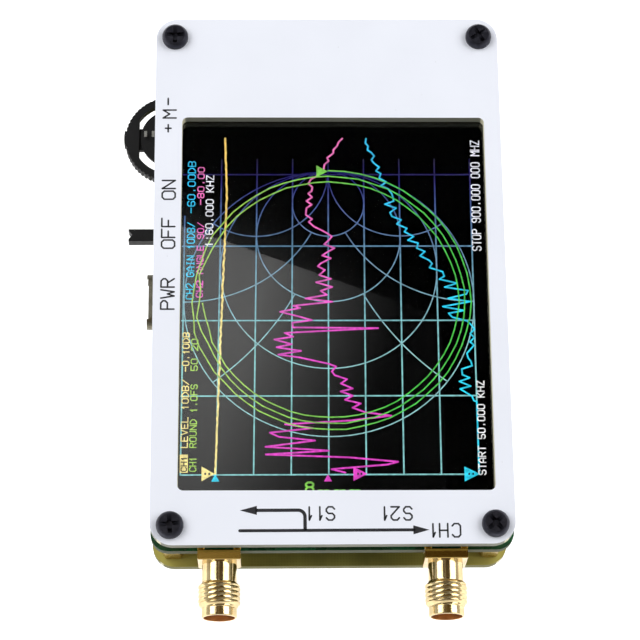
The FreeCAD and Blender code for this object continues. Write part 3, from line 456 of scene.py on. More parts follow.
def add_rings(form, rings, closed=False):
    """A skin over rings of equally many points; closed joins the last ring to the first."""
    count = len(rings[0])
    faces = []
    rows = len(rings) if closed else len(rings) - 1
    for row in range(rows):
        a, b = row * count, (row + 1) % len(rings) * count
        faces += [[a + k, a + (k + 1) % count, b + (k + 1) % count, b + k] for k in range(count)]
    if not closed:
        last = (len(rings) - 1) * count
        faces += [list(range(count - 1, -1, -1)), list(range(last, last + count))]
    form.add([point for ring in rings for point in ring], faces)


def add_block(form, low, high, bevel):
    """A box with all its edges broken."""
    rings = []
    for z, inset in ((low[2], bevel), (low[2] + bevel, 0.0), (high[2] - bevel, 0.0), (high[2], bevel)):
        x0, x1 = low[0] + inset, high[0] - inset
        y0, y1 = low[1] + inset, high[1] - inset
        rings.append([
            (x0 + bevel, y0, z), (x1 - bevel, y0, z), (x1, y0 + bevel, z), (x1, y1 - bevel, z),
            (x1 - bevel, y1, z), (x0 + bevel, y1, z), (x0, y1 - bevel, z), (x0, y0 + bevel, z),
        ])
    add_rings(form, rings)


# Share of a solder bead's length, and share of its radius there.
BEAD_PROFILE = ((-0.06, 0.3), (0.0, 0.75), (0.2, 1.0), (0.5, 0.92), (0.8, 1.05), (1.0, 0.7), (1.06, 0.3))


def add_bead(form, start, end, radius, rng):
    """A lumpy run of solder."""
    start, end = Vector(start), Vector(end)
    side = (end - start).normalized().cross(UP).normalized()
    rings = []
    for share, size in BEAD_PROFILE:
        middle = start + (end - start) * share
        reach = radius * size * rng.uniform(0.9, 1.1)
        angles = ring_angles(10)
        rings.append([middle + side * math.cos(a) * reach + UP * math.sin(a) * reach for a in angles])
    add_rings(form, rings)


def solid_boxes(node):
    """Lowest and highest corner of every separate solid in a CAD node, in millimetres."""
    mesh = frame["nodes"][node].data
    places = {}
    corner_of = []
    for vertex in mesh.vertices:
        key = tuple(round(value / MM, 3) for value in vertex.co)
        corner_of.append(places.setdefault(key, len(places)))
    parent = list(range(len(places)))

    def root(k):
        while parent[k] != k:
            parent[k] = parent[parent[k]]
            k = parent[k]
        return k

    for edge in mesh.edges:
        first, second = (root(corner_of[k]) for k in edge.vertices)
        parent[first] = second
    groups = {}
    for key, k in places.items():
        groups.setdefault(root(k), []).append(Vector(key))
    boxes = []
    for points in groups.values():
        low = Vector([min(point[axis] for point in points) for axis in range(3)])
        high = Vector([max(point[axis] for point in points) for axis in range(3)])
        boxes.append((low, high))
    return sorted(boxes, key=lambda pair: tuple(pair[0]))


def stroke_sections(path, width, rounded):
    """Left and right edge points along a flat path, mitred at the corners."""
    points = [Vector(point) for point in path]
    headings = [(after - before).normalized() for before, after in zip(points, points[1:])]
    sections = []
    for k, point in enumerate(points):
        before = headings[max(k - 1, 0)]
        after = headings[min(k, len(headings) - 1)]
        along = before + after
        along = along.normalized() if along.length > 0.2 else after
        across = Vector((-along.y, along.x))
        reach = width / 2 / max(abs(across.dot(Vector((-after.y, after.x)))), 0.6)
        sections.append((point + across * reach, point - across * reach))
    if rounded:
        start = [(right, left) for left, right in reversed(round_cap(points[0], -headings[0], width))]
        sections = start + sections + round_cap(points[-1], headings[-1], width)
    return sections


def round_cap(point, heading, width):
    across = Vector((-heading.y, heading.x)) * width / 2
    cap = []
    for out, share in ((0.25, 0.87), (0.43, 0.5), (0.5, 0.1)):
        middle = point + heading * width * out
        cap.append((middle + across * share, middle - across * share))
    return cap


def gentle_runs(path):
    """The path cut at every turn that is too sharp to mitre."""
    points = [Vector(point) for point in path]
    runs = [[points[0]]]
    for before, point, after in zip(points, points[1:], points[2:]):
        runs[-1].append(point)
        if (point - before).normalized().dot((after - point).normalized()) < 0.1:
            runs.append([point])
    runs[-1].append(points[-1])
    return runs


class Ink:
    """Thin flat lines and patches between two heights."""

    def __init__(self, bottom, top):
        self.form = Form()
        self.bottom = bottom
        self.top = top

    def lines(self, paths, width, rounded=True):
        for path in paths:
            for run in gentle_runs(path):
                self.run(stroke_sections(run, width, rounded))
        return self

    def run(self, sections):
        points = []
        for left, right in sections:
            points += [(*left, self.top), (*right, self.top), (*left, self.bottom), (*right, self.bottom)]
        faces = []
        for a in range(0, 4 * (len(sections) - 1), 4):
            b = a + 4
            faces += [[a, a + 1, b + 1, b], [a + 2, b + 2, b + 3, a + 3]]
            faces += [[a, b, b + 2, a + 2], [a + 1, a + 3, b + 3, b + 1]]
        last = 4 * (len(sections) - 1)
        faces += [[0, 2, 3, 1], [last, last + 1, last + 3, last + 2]]
        self.form.add(points, faces)

    def patches(self, *outlines):
        for outline in outlines:
            count = len(outline)
            points = [(x, y, z) for z in (self.top, self.bottom) for x, y in outline]
            faces = [list(range(count)), list(range(2 * count - 1, count - 1, -1))]
            faces += [[k, k + count, (k + 1) % count + count, (k + 1) % count] for k in range(count)]
            self.form.add(points, faces)
        return self

    def piece(self, name, look):
        self.form.piece(name, look)


def arc_points(centre, radius, start, end, steps):
    """Points on an arc, angles in degrees."""
    angles = [math.radians(start + (end - start) * k / steps) for k in range(steps + 1)]
    return [(centre[0] + radius * math.cos(a), centre[1] + radius * math.sin(a)) for a in angles]


def disc(centre, radius, corners):
    """A round outline with this many corners."""
    return arc_points(centre, radius, 0, 360 - 360 / corners, corners - 1)


# Single-stroke letters on a grid 4 wide and 6 high: each pair of digits is a corner, ";" lifts the pen.
GLYPHS = {
    "0": "10 30 41 45 36 16 05 01 10", "1": "14 26 20", "2": "05 16 36 45 44 00 40",
    "5": "46 06 03 33 42 41 30 10 01", "6": "45 36 16 05 01 10 30 41 42 33 03",
    "8": "13 04 05 16 36 45 44 33 13 02 01 10 30 41 42 33", "9": "01 10 30 41 45 36 16 05 04 13 43",
    "A": "00 04 26 44 40;02 42", "B": "00 06 36 45 44 33 03;33 42 41 30 00", "C": "45 36 16 05 01 10 30 41",
    "D": "00 06 26 44 42 20 00", "E": "46 06 00 40;03 33", "F": "46 06 00;03 33",
    "G": "45 36 16 05 01 10 30 41 43 23", "H": "00 06;40 46;03 43", "I": "20 26;10 30;16 36",
    "K": "00 06;46 02;13 40", "L": "06 00 40", "M": "00 06 23 46 40", "N": "00 06 40 46",
    "O": "10 30 41 45 36 16 05 01 10", "P": "00 06 36 45 44 33 03", "R": "00 06 36 45 44 33 03;23 40",
    "S": "45 36 16 05 04 13 33 42 41 30 10 01", "T": "06 46;26 20", "U": "06 01 10 30 41 46",
    "V": "06 20 46", "W": "06 10 23 30 46", "Z": "06 46 00 40",
    "+": "03 43;21 25", "-": "03 43", "/": "00 46", ":": "21 22;24 25", ".": "20 21", " ": "",
}


def text_paths(text, start, along, height, width, pitch=None, gap=0.32):
    """Paths of a line of letters. Along is the reading direction; letters stand to its left."""
    forward = Vector(along)
    upward = Vector((-forward.y, forward.x))
    origin = Vector(start)
    paths = []
    for letter in text:
        strokes = [stroke.split() for stroke in GLYPHS[letter].split(";") if stroke]
        columns = [int(corner[0]) for stroke in strokes for corner in stroke] or [0, 4]
        shift = 0 if pitch else min(columns)
        for stroke in strokes:
            paths.append([
                origin + forward * (int(column) - shift) * width / 4 + upward * int(row) * height / 6
                for column, row in stroke
            ])
        origin += forward * (pitch or (max(columns) - min(columns)) * width / 4 + gap * width)
    return paths


# ---- coaxial ports ----

COLUMNS = 96
PORT_LENGTH = round(BOARD_LOW.y - box_mm("port_two_body")[0].y, 3)
NECK_RADIUS = 2.6
CREST_RADIUS = 3.15
THREAD_DEPTH = 0.13
THREAD_PITCH = 25.4 / 36
THREAD_START = 4.35
THREAD_END = 8.3
RING_RADIUS = 2.65
MOUTH_RADIUS = 2.3
MOUTH_DEPTH = 1.9
SLEEVE_RADIUS = 2.05
FLANGE_HALF = 3.175
FLANGE_TAIL = 3.975
FLANGE_CHAMFER = 1.4
FLANGE_EDGE = 0.12
LEG_WIDTH = 1.0
LEG_LENGTH = 3.6
LEG_BEAD_START = 1.1
LEG_BEAD_RADIUS = 0.24


def thread_radius(out, angle):
    """Radius of the barrel at this distance from the board's edge, over the threaded stretch."""
    phase = ((out - THREAD_START) / THREAD_PITCH - angle / (2 * math.pi)) % 1.0
    ridge = min(max(1.9 * (1 - abs(2 * phase - 1)) - 0.1, 0.0), 1.0)
    inner_shoulder = NECK_RADIUS + 0.95 * (out - THREAD_START)
    outer_shoulder = RING_RADIUS + 0.8 * (THREAD_END - out)
    crest = min(CREST_RADIUS, inner_shoulder, outer_shoulder)
    return max(NECK_RADIUS, crest - THREAD_DEPTH * (1 - ridge))


def barrel_rings():
    """(distance out, radius at each angle) from the flange to the mouth and back inside."""
    angles = ring_angles(COLUMNS)
    rear, front, floor = FLANGE_THICKNESS - 0.3, PORT_LENGTH, PORT_LENGTH - MOUTH_DEPTH
    neck = [(rear, SLEEVE_RADIUS)]
    neck += [(out, NECK_RADIUS) for out in (rear, THREAD_START - 0.04, THREAD_START)]
    rings = [(out, [radius] * COLUMNS) for out, radius in neck]
    rows = round((THREAD_END - THREAD_START) / (THREAD_PITCH / 10))
    for row in range(1, rows):
        out = THREAD_START + (THREAD_END - THREAD_START) * row / rows
        rings.append((out, [thread_radius(out, angle) for angle in angles]))
    mouth = [
        (THREAD_END, RING_RADIUS - 0.03), (THREAD_END + 0.06, RING_RADIUS), (THREAD_END + 0.1, RING_RADIUS),
        (front - 0.16, RING_RADIUS), (front - 0.12, RING_RADIUS), (front - 0.06, RING_RADIUS - 0.04),
        (front, RING_RADIUS - 0.12), (front, MOUTH_RADIUS + 0.06), (front - 0.06, MOUTH_RADIUS),
        (floor, MOUTH_RADIUS), (floor, SLEEVE_RADIUS),
    ]
    rings += [(out, [radius] * COLUMNS) for out, radius in mouth]
    return angles, rings


def flange_corners(tailed):
    """Corners of the flange round the port's axis; a tailed one has its two lower corners cut off."""
    half, tail, cut = FLANGE_HALF, FLANGE_TAIL, FLANGE_CHAMFER
    if not tailed:
        return [(half, -half), (half, half), (-half, half), (-half, -half)]
    lower = [(-half, cut - tail), (cut - half, -tail), (half - cut, -tail)]
    return [(half, cut - tail), (half, half), (-half, half)] + lower


def flange_reach(corners, angle, inset):
    """Distance from the port's axis to the flange's outline, drawn in by an inset."""
    reaches = []
    for start, end in zip(corners, corners[1:] + corners[:1]):
        side = (Vector(end) - Vector(start)).normalized()
        normal = Vector((side.y, -side.x))
        facing = normal.x * math.cos(angle) + normal.y * math.sin(angle)
        if facing > 0.01:
            reaches.append((normal.dot(Vector(start)) - inset) / facing)
    return min(reaches)


def flange_rings(tailed):
    """The flange as rings; its corners fall on the ring angles."""
    corners = flange_corners(tailed)
    angles = ring_angles(COLUMNS // 2)
    angles += [math.atan2(v, u) % (2 * math.pi) for u, v in corners]
    angles = sorted(set(round(angle, 6) for angle in angles))
    front, edge = FLANGE_THICKNESS, FLANGE_EDGE
    profile = [(0.0, edge), (edge, 0.0), (front - edge, 0.0), (front, edge)]
    outer = [(out, [flange_reach(corners, angle, inset) for angle in angles]) for out, inset in profile]
    bore = [SLEEVE_RADIUS] * len(angles)
    return angles, [(0.0, bore)] + outer + [(front, bore)]


def port_body(node, x, tailed):
    """Threaded barrel, flange and the legs that grip the board's edge."""
    edge_y = BOARD_LOW.y
    form, solder = Form(), Form()
    for angles, rings in (barrel_rings(), flange_rings(tailed)):
        skin = []
        for out, radii in rings:
            spots = zip(angles, radii)
            skin.append([(x + r * math.cos(a), edge_y - out, PORT_Z + r * math.sin(a)) for a, r in spots])
        add_rings(form, skin, closed=True)
    rng = random.Random(31)
    for side in (-1, 1):
        middle = x + side * (FLANGE_HALF - LEG_WIDTH / 2)
        for z_low, board_z in ((BOARD_HIGH.z, BOARD_HIGH.z), (BOARD_LOW.z - LEG_WIDTH, BOARD_LOW.z)):
            low = (middle - LEG_WIDTH / 2, edge_y - 0.05, z_low)
            high = (middle + LEG_WIDTH / 2, edge_y + LEG_LENGTH, z_low + LEG_WIDTH)
            add_block(form, low, high, 0.08)
            for flank in (-1, 1):
                bead_x = middle + flank * LEG_WIDTH / 2
                start = (bead_x, edge_y + LEG_BEAD_START, board_z)
                end = (bead_x, edge_y + LEG_LENGTH, board_z)
                add_bead(solder, start, end, LEG_BEAD_RADIUS, rng)
    barrel = form.piece(node.replace("body", "barrel"), "port_gold", smooth=True)
    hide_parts(node)
    solder.piece(node.replace("body", "solder"), "tin_steel", smooth=True)


# ---- small parts under the board ----

def chip_capacitors():
    """Ceramic bodies with tinned ends."""
    bodies, ends = Form(), Form()
    for low, high in solid_boxes("ceramic_capacitors"):
        add_capped(bodies, ends, low, high, 0.24)
    piece = bodies.piece("capacitor_bodies", "tan_ceramic")
    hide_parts("ceramic_capacitors")
    ends.piece("capacitor_ends", "tin_steel")


def chip_resistors():
    """Black film on white ceramic, with tinned ends."""
    film_margin = 0.22
    films, ends, cores = Form(), Form(), Form()
    for low, high in solid_boxes("chip_resistors"):
        add_capped(cores, ends, low + UP * 0.06, high, 0.18)
        longest = long_axis(low, high)
        film_low, film_high = low.copy(), Vector((high.x, high.y, low.z + 0.08))
        film_low[longest] += film_margin
        film_high[longest] -= film_margin
        add_block(films, film_low, film_high, 0.012)
    piece = films.piece("resistor_films", "black_ceramic")
    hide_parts("chip_resistors")
    cores.piece("resistor_cores", "white_insulator")
    ends.piece("resistor_ends", "tin_steel")


def long_axis(low, high):
    return 0 if high.x - low.x > high.y - low.y else 1


def add_capped(bodies, ends, low, high, share):
    """One chip part: a slightly slimmer body between two end caps."""
    longest = long_axis(low, high)
    cap = share * (high[longest] - low[longest])
    inset = 0.03
    add_block(bodies, low + Vector((inset, inset, inset)), high - Vector((inset, inset, 0.0)), 0.02)
    first_high, second_low = high.copy(), low.copy()
    first_high[longest] = low[longest] + cap
    second_low[longest] = high[longest] - cap
    add_block(ends, low, first_high, 0.04)
    add_block(ends, second_low, high, 0.04)


CHIP_NODES = ["microcontroller", "charger_chip", "clock_generator", "audio_converter", "voltage_regulators"]
FRAME_GAP = 0.45
FRAME_ARM = 0.9
PRINT_ROOT = 0.01
LEGEND_RELIEF = 0.02
DOT_RELIEF = 0.006
DOT_RADIUS = 0.17
TRACK_RELIEF = 0.03
VIA_RELIEF = 0.04
VIA_RADIUS = 0.26
TRACK_WIDTH = 0.18


def board_legend():
    """White corners round the parts and a dot by each chip's first lead, printed under the board."""
    legend = Ink(BOARD_LOW.z - LEGEND_RELIEF, BOARD_LOW.z + PRINT_ROOT)
    dots = Ink(0.0, 0.0)
    for node in CHIP_NODES + ["power_inductor", "reference_oscillator"]:
        for low, high in solid_boxes(node):
            for x, turn_x in ((low.x - FRAME_GAP, 1), (high.x + FRAME_GAP, -1)):
                for y, turn_y in ((low.y - FRAME_GAP, 1), (high.y + FRAME_GAP, -1)):
                    corner = [(x + turn_x * FRAME_ARM, y), (x, y), (x, y + turn_y * FRAME_ARM)]
                    legend.lines([corner], 0.15, rounded=False)
            if node in CHIP_NODES:
                dots.bottom, dots.top = low.z - DOT_RELIEF, low.z + PRINT_ROOT
                inward = 1.0 if high.y - low.y > 3.5 else 0.85
                dots.patches(disc((low.x + 1.0, high.y - inward), DOT_RADIUS, 24))
    legend.piece("board_legend", "white_film")
    dots.piece("chip_dots", "white_film")


def board_tracks():
    """Copper tracks and via rings that stand a little proud under the coating."""
    rng = random.Random(12)
    tracks = Ink(BOARD_LOW.z - TRACK_RELIEF, BOARD_LOW.z + PRINT_ROOT)
    vias = Ink(BOARD_LOW.z - VIA_RELIEF, BOARD_LOW.z + PRINT_ROOT)
    for lane in range(9):
        x, shift = -7.6 + 0.55 * lane, 0.3 * lane
        tracks.lines([[(x, -15.0), (x, -6.5 + shift), (x - 3.5, -3.0 + shift), (x - 3.5, 0.4)]], TRACK_WIDTH)
    for lane in range(8):
        y, shift = -15.2 + 0.8 * lane, 0.3 * lane
        path = [(10.6, y), (13.0 + shift, y), (15.0 + shift, y + 2.0), (20.0, y + 2.0)]
        tracks.lines([path], TRACK_WIDTH)
    for side in (-1, 1):
        port_run = [(16.8, BOARD_LOW.y + 1.2), (16.8, -36.0), (14.0, -33.2), (12.6, -33.2)]
        tracks.lines([[(side * x, y) for x, y in port_run]], 0.5)
    spots = []
    for side in (-1, 1):
        for column in (0, 1):
            spots += [(side * (15.2 + 3.2 * column), -41.6 + 1.1 * row) for row in range(7)]
    spots += [(rng.uniform(-20, 20), rng.uniform(4, 38)) for _ in range(40)]
    vias.patches(*[disc(spot, VIA_RADIUS, 16) for spot in spots])
    tracks.piece("board_tracks", "green_board")
    vias.piece("board_vias", "contact_gold")


def battery_wrap():
    """Amber tape round the cell's protection board, with its overlap along one edge."""
    low, high = box_mm("battery_board")
    cell_low, cell_high = box_mm("battery_cell")
    form = Form()
    skin, bevel = 0.05, 0.35
    wrap_low = (cell_low.x - 0.02, low.y - 2.4, cell_low.z - skin)
    wrap_high = (cell_high.x + 0.02, high.y + skin, cell_high.z + skin)
    add_block(form, wrap_low, wrap_high, bevel)
    lap_low = (cell_low.x + 3.0, low.y - 2.9, cell_low.z - 2 * skin)
    lap_high = (cell_low.x + 9.0, high.y + 2 * skin, cell_high.z + 2 * skin)
    add_block(form, lap_low, lap_high, bevel)
    form.piece("battery_wrap", "amber_flex")


# ---- controls ----

WHEEL_CENTRE = Vector([round(value, 3) for value in middle_of("jog_pivot")[:2]])
RIB_COUNT = 34
RIB_HALF = 0.35
RIB_HEIGHT = 0.11


def wheel_ribs():
    """Grip ribs round the part of the jog wheel's rim that shows."""
    low, high = box_mm("jog_wheel")
    levels = ((low.z + 0.03, 0.1), (low.z + 0.18, 0.0), (high.z - 0.18, 0.0), (high.z - 0.03, 0.1))
    radius = WHEEL_CENTRE.x - low.x - 0.27
    form = Form()
    for k in range(RIB_COUNT):
        angle = math.pi * (0.46 + 1.08 * k / (RIB_COUNT - 1))
        outward = Vector((math.cos(angle), math.sin(angle)))
        across = Vector((-outward.y, outward.x)) * RIB_HALF
        rings = []
        for z, inset in levels:
            outer = WHEEL_CENTRE + outward * (radius + RIB_HEIGHT - inset)
            inner = WHEEL_CENTRE + outward * (radius - 0.1)
            corners = [inner - across, outer - across * 0.45, outer + across * 0.45, inner + across]
            rings.append([(*corner, z) for corner in corners])
        add_rings(form, rings)
    form.piece("jog_wheel_ribs", "black_plastic", "jog_lever")


def carriage_marks():
    """Two pale inserts on the jog carriage."""
    top = box_mm("jog_carriage")[1].z
    form = Form()
    for x in (-28.75, -27.55):
        add_block(form, (x - 0.22, 24.85, top - 0.02), (x + 0.22, 25.85, top + 0.03), 0.01)
    form.piece("jog_carriage_inserts", "tin_steel", "jog_slider")


def shell_seam():
    """The folded seam along the data port's shell, and the beads that fix it to the board."""
    low, high = box_mm("data_port_shell")
    rng = random.Random(8)
    seam, solder = Form(), Form()
    middle = (low.y + high.y) / 2
    seam_low = (low.x + 0.02, middle + 0.38, low.z - 0.01)
    add_block(seam, seam_low, (high.x - 0.4, middle + 0.46, low.z + 0.02), 0.008)
    for x in (low.x + 2.4, low.x + 6.2):
        for y in (low.y + 0.1, high.y - 0.1):
            add_bead(solder, (x - 0.5, y, BOARD_LOW.z), (x + 0.5, y, BOARD_LOW.z), 0.2, rng)
    seam.piece("data_port_seam", "nickel_shell")
    solder.piece("data_port_solder", "tin_steel", smooth=True)


# ---- marks on the front panel ----

MARK_INK = plastic("mark_ink", (16, 17, 24), (30, 31, 38), 0.5, 0.3, 0.003)
UP_THE_PANEL = (0, 1)
LEFTWARDS = (-1, 0)
LABEL_HEIGHT = 2.0
LABEL_STROKE = 0.25
SIDE_LABELS = [("ON", 12.1), ("OFF", 4.0), ("PWR", -5.9), ("M", 25.8)]
LOWER_LABELS = [("S11", 0.25, -36.95, 1.56), ("S21", 11.68, -37.0, None), ("CH1", 18.78, -39.6, None)]


def panel_ink():
    return Ink(PANEL_TOP - 0.01, PANEL_TOP + 0.02)


def panel_labels():
    """Generic marks: control names along the left edge and path names by the ports."""
    labels = panel_ink()
    for text, y in SIDE_LABELS:
        labels.lines(text_paths(text, (-23.75, y), UP_THE_PANEL, LABEL_HEIGHT, 1.35), LABEL_STROKE)
    for text, x, y, pitch in LOWER_LABELS:
        paths = text_paths(text, (x, y), LEFTWARDS, LABEL_HEIGHT, 1.2, pitch, 0.56)
        labels.lines(paths, LABEL_STROKE)
    labels.lines(text_paths("+", (-24.3, 23.45), UP_THE_PANEL, 1.3, 1.2, 1.0), LABEL_STROKE)
    labels.lines([[(-25.0, 28.1), (-25.0, 29.15)]], LABEL_STROKE)
    labels.piece("panel_labels", MARK_INK)


def panel_arrows():
    """The signal path: one arrow back to the first port, one on to the second."""
    low_y, high_y, head_half = -40.5, -37.43, 0.68
    left_x, bend_x, bend_radius = -13.7, -4.1, 1.0
    bend = arc_points((bend_x - bend_radius, high_y - bend_radius), bend_radius, 90, 0, 8)
    arrows = panel_ink()
    arrows.lines([[(-11.4, high_y)] + bend + [(bend_x, low_y)]], 0.5, rounded=False)
    arrows.lines([[(left_x, low_y), (11.9, low_y)]], 0.46)
    arrows.patches([(left_x, high_y), (-11.2, high_y - head_half), (-11.2, high_y + head_half)])
    arrows.patches([(14.2, low_y), (11.84, low_y + head_half), (11.84, low_y - head_half)])
    arrows.piece("panel_arrows", MARK_INK)


# ---- picture on the display ----

GRID_LINES = 8
GRID_TOP = (-16.6, 5.53, 19.5)
GRID_BOTTOM = (-17.3, 5.61, -31.45)
GRID_HEIGHTS = [17.0, 5.05, -7.1, -19.15, -31.45]
GRID_LEFT = -22.6
GRID_RIGHT = 22.1
CHART_CENTRE = Vector((-0.1, -4.1))
CHART_REACH = Vector((22.2, 21.5))
LAYER_STEP = 0.004
READOUT_STROKE = 0.17
LETTER_SHARE = 0.66 / 0.93
READING = Vector((0.012, 1.0)).normalized()


def screen_ink(name, near, far, strength=1.0, gone_above=None, along=("Y", -12.0, 16.0)):
    """Light from the display's picture: uneven along its lines, and another colour at the far end."""
    finish = Finish(name, BLACK, 0.6, Emission_Strength=strength)
    far_share = finish.ramp(finish.axis(along[0]), *along[1:])
    light = finish.blend(far_share, near, far)
    light = finish.blend(finish.ramp(finish.noise(0.7, 2.0), 0.35, 0.65, 0.0, 0.4), light, BLACK)
    if gone_above:
        gone = finish.ramp(finish.axis("Y"), gone_above - 9.0, gone_above, 0.0, 0.93)
        light = finish.blend(gone, light, BLACK)
    finish.glow(light)
    finish.material.cycles.emission_sampling = "NONE"
    return finish.material


GRID_INK = screen_ink("grid_light", (150, 226, 226), (40, 20, 150), 1.0, 20.0)
CHART_INK = screen_ink("chart_light", (165, 226, 228), (40, 30, 160), 1.0, 20.0)
YELLOW_INK = screen_ink("yellow_light", (255, 236, 150), (255, 214, 110), 1.2)
CYAN_INK = screen_ink("cyan_light", (40, 220, 250), (50, 200, 250), 1.2)
MAGENTA_INK = screen_ink("magenta_light", (240, 70, 210), (240, 120, 190), 1.15)
GREEN_INK = screen_ink("green_light", (182, 230, 96), (84, 222, 84), 1.0, None, ("X", -16.0, 10.0))
WHITE_INK = screen_ink("white_light", (250, 250, 250), (245, 245, 255), 1.2)
DARK_INK = plastic("dark_ink", (10, 10, 12), (16, 16, 18), 0.5, 0.3, 0.001)


class Picture(Ink):
    """One colour of the display's picture, as lit lines just under the touch panel."""

    def __init__(self, layer):
        top = PICTURE_Z + layer * LAYER_STEP
        super().__init__(top - LAYER_STEP, top)

    def readout(self, text, foot, start, end, height):
        """Letters that fill the stretch from start to end along the display's left or right side."""
        pitch = (end - start) / len(text)
        paths = text_paths(text, (foot, start + 0.1), READING, height, LETTER_SHARE * pitch, pitch)
        return self.lines(paths, READOUT_STROKE)


def grid_paths():
    paths = []
    for k in range(GRID_LINES):
        top = (GRID_TOP[0] + k * GRID_TOP[1], GRID_TOP[2])
        bottom = (GRID_BOTTOM[0] + k * GRID_BOTTOM[1], GRID_BOTTOM[2])
        paths.append([bottom, top])
    for height in GRID_HEIGHTS:
        paths.append([(GRID_LEFT, height), (GRID_RIGHT, height - 0.1)])
    paths.append([(GRID_LEFT, GRID_HEIGHTS[-1]), (GRID_LEFT + 0.3, 10.0)])
    return paths


def chart_place(reflection):
    """Where a reflection coefficient lies on the round chart, whose open-circuit end is at the top."""
    return CHART_CENTRE + Vector((-reflection.imag * CHART_REACH.x, reflection.real * CHART_REACH.y))


def chart_paths():
    """Circles of equal resistance and arcs of equal reactance."""
    paths = []
    for resistance in (0.0, 1 / 3, 1.0, 3.0):
        middle = resistance / (1 + resistance)
        radius = 1 / (1 + resistance)
        turn = ring_angles(90) + [2 * math.pi]
        spots = [complex(middle + radius * math.cos(a), radius * math.sin(a)) for a in turn]
        paths.append([chart_place(spot) for spot in spots])
    arcs = [(0.5, 1.0), (1.0, 3.0), (2.0, 40.0)]
    for reactance, furthest in arcs:
        for side in (-1, 1):
            steps = [math.tan(math.atan(furthest) * k / 40) for k in range(41)]
            impedances = [complex(step, side * reactance) for step in steps]
            paths.append([chart_place((z - 1) / (z + 1)) for z in impedances])
    return paths


LOOP_CENTRE = Vector((0.0, -4.3))
LOOP_TURNS = 2.75
LOOP_STEPS = 154
LOOP_REACH = 21.9
LOOP_SHRINK = 0.95
LOOP_SAG = 1.2


def loop_path():
    """The reflection trace: shrinking turns round the chart, flatter below and rough on the left."""
    rng = random.Random(5)
    path = []
    for k in range(LOOP_STEPS + 1):
        turns = LOOP_TURNS * k / LOOP_STEPS
        angle = math.radians(90 - 360 * turns)
        heading = Vector((math.cos(angle), math.sin(angle)))
        reach = LOOP_REACH - LOOP_SHRINK * turns - LOOP_SAG * max(0.0, -heading.y)
        roughness = 0.07 + 1.2 * max(0.0, -heading.x - 0.75)
        path.append(LOOP_CENTRE + heading * (reach + rng.uniform(-roughness, roughness)))
    return path


SWING_PITCH = 0.62


def noisy_trace(stretches, seed, furthest=30.0):
    """A trace that swings from side to side down the display.

    Each stretch gives where it starts, the middle of the swings there and how far they reach.
    """
    rng = random.Random(seed)
    path = []
    swing = 1
    for (top, middle, reach), (bottom, next_middle, next_reach) in zip(stretches, stretches[1:]):
        steps = max(1, round((top - bottom) / SWING_PITCH))
        for k in range(steps):
            share = k / steps
            here = middle + (next_middle - middle) * share
            spread = reach + (next_reach - reach) * share
            x = here + swing * spread * rng.uniform(0.15, 1.0)
            path.append((min(x, furthest), top + (bottom - top) * (k + rng.uniform(-0.2, 0.2)) / steps))
            swing = -swing if rng.random() < 0.8 else swing
    return path + [(next_middle, bottom)]


# Height on the display, middle and reach of the swings, from the top down.
PHASE_STRETCHES = [
    (23.0, 2.2, 0.2), (15.5, -2.7, 0.5), (9.5, -3.2, 0.8), (6.0, 0.2, 1.2), (1.0, -1.0, 0.9),
    (-3.0, -1.0, 1.8), (-5.2, -3.5, 4.5), (-8.2, -4.5, 2.0), (-8.5, 2.0, 8.5), (-9.1, -6.5, 1.8),
    (-13.2, -6.5, 4.0), (-14.0, 0.2, 0.9), (-18.0, 2.5, 1.4), (-21.8, 4.0, 1.2), (-22.4, 1.0, 9.5),
    (-25.0, -6.0, 4.0), (-27.0, -6.0, 6.0), (-28.4, 0.0, 10.0), (-31.2, 2.0, 8.0),
]
GAIN_STRETCHES = [
    (23.0, 5.8, 0.3), (17.0, 8.0, 0.5), (12.5, 9.4, 1.2), (8.0, 11.5, 0.8), (4.0, 14.2, 0.8),
    (0.0, 17.0, 1.0), (-3.0, 20.0, 2.8), (-6.8, 19.5, 2.2), (-8.0, 21.8, 0.3), (-12.5, 21.4, 0.7),
    (-16.5, 20.0, 1.9), (-20.0, 21.4, 0.6), (-20.3, 22.0, 0.0), (-31.5, 22.0, 0.0),
]
LEVEL_STRETCHES = [
    (23.2, -16.1, 0.03), (13.6, -15.8, 0.05), (0.5, -16.3, 0.1), (-13.0, -16.8, 0.08), (-31.3, -17.4, 0.03),
]


def pointer(tip, length, half_width):
    """A triangle that points along +X."""
    return [tip, (tip[0] - length, tip[1] + half_width), (tip[0] - length, tip[1] - half_width)]


def peg(tip, height, half_width):
    """A small triangle that points along +Y."""
    return [tip, (tip[0] - half_width, tip[1] - height), (tip[0] + half_width, tip[1] - height)]


def block(low, high):
    """A rectangle between two corners."""
    return [low, (high[0], low[1]), high, (low[0], high[1])]


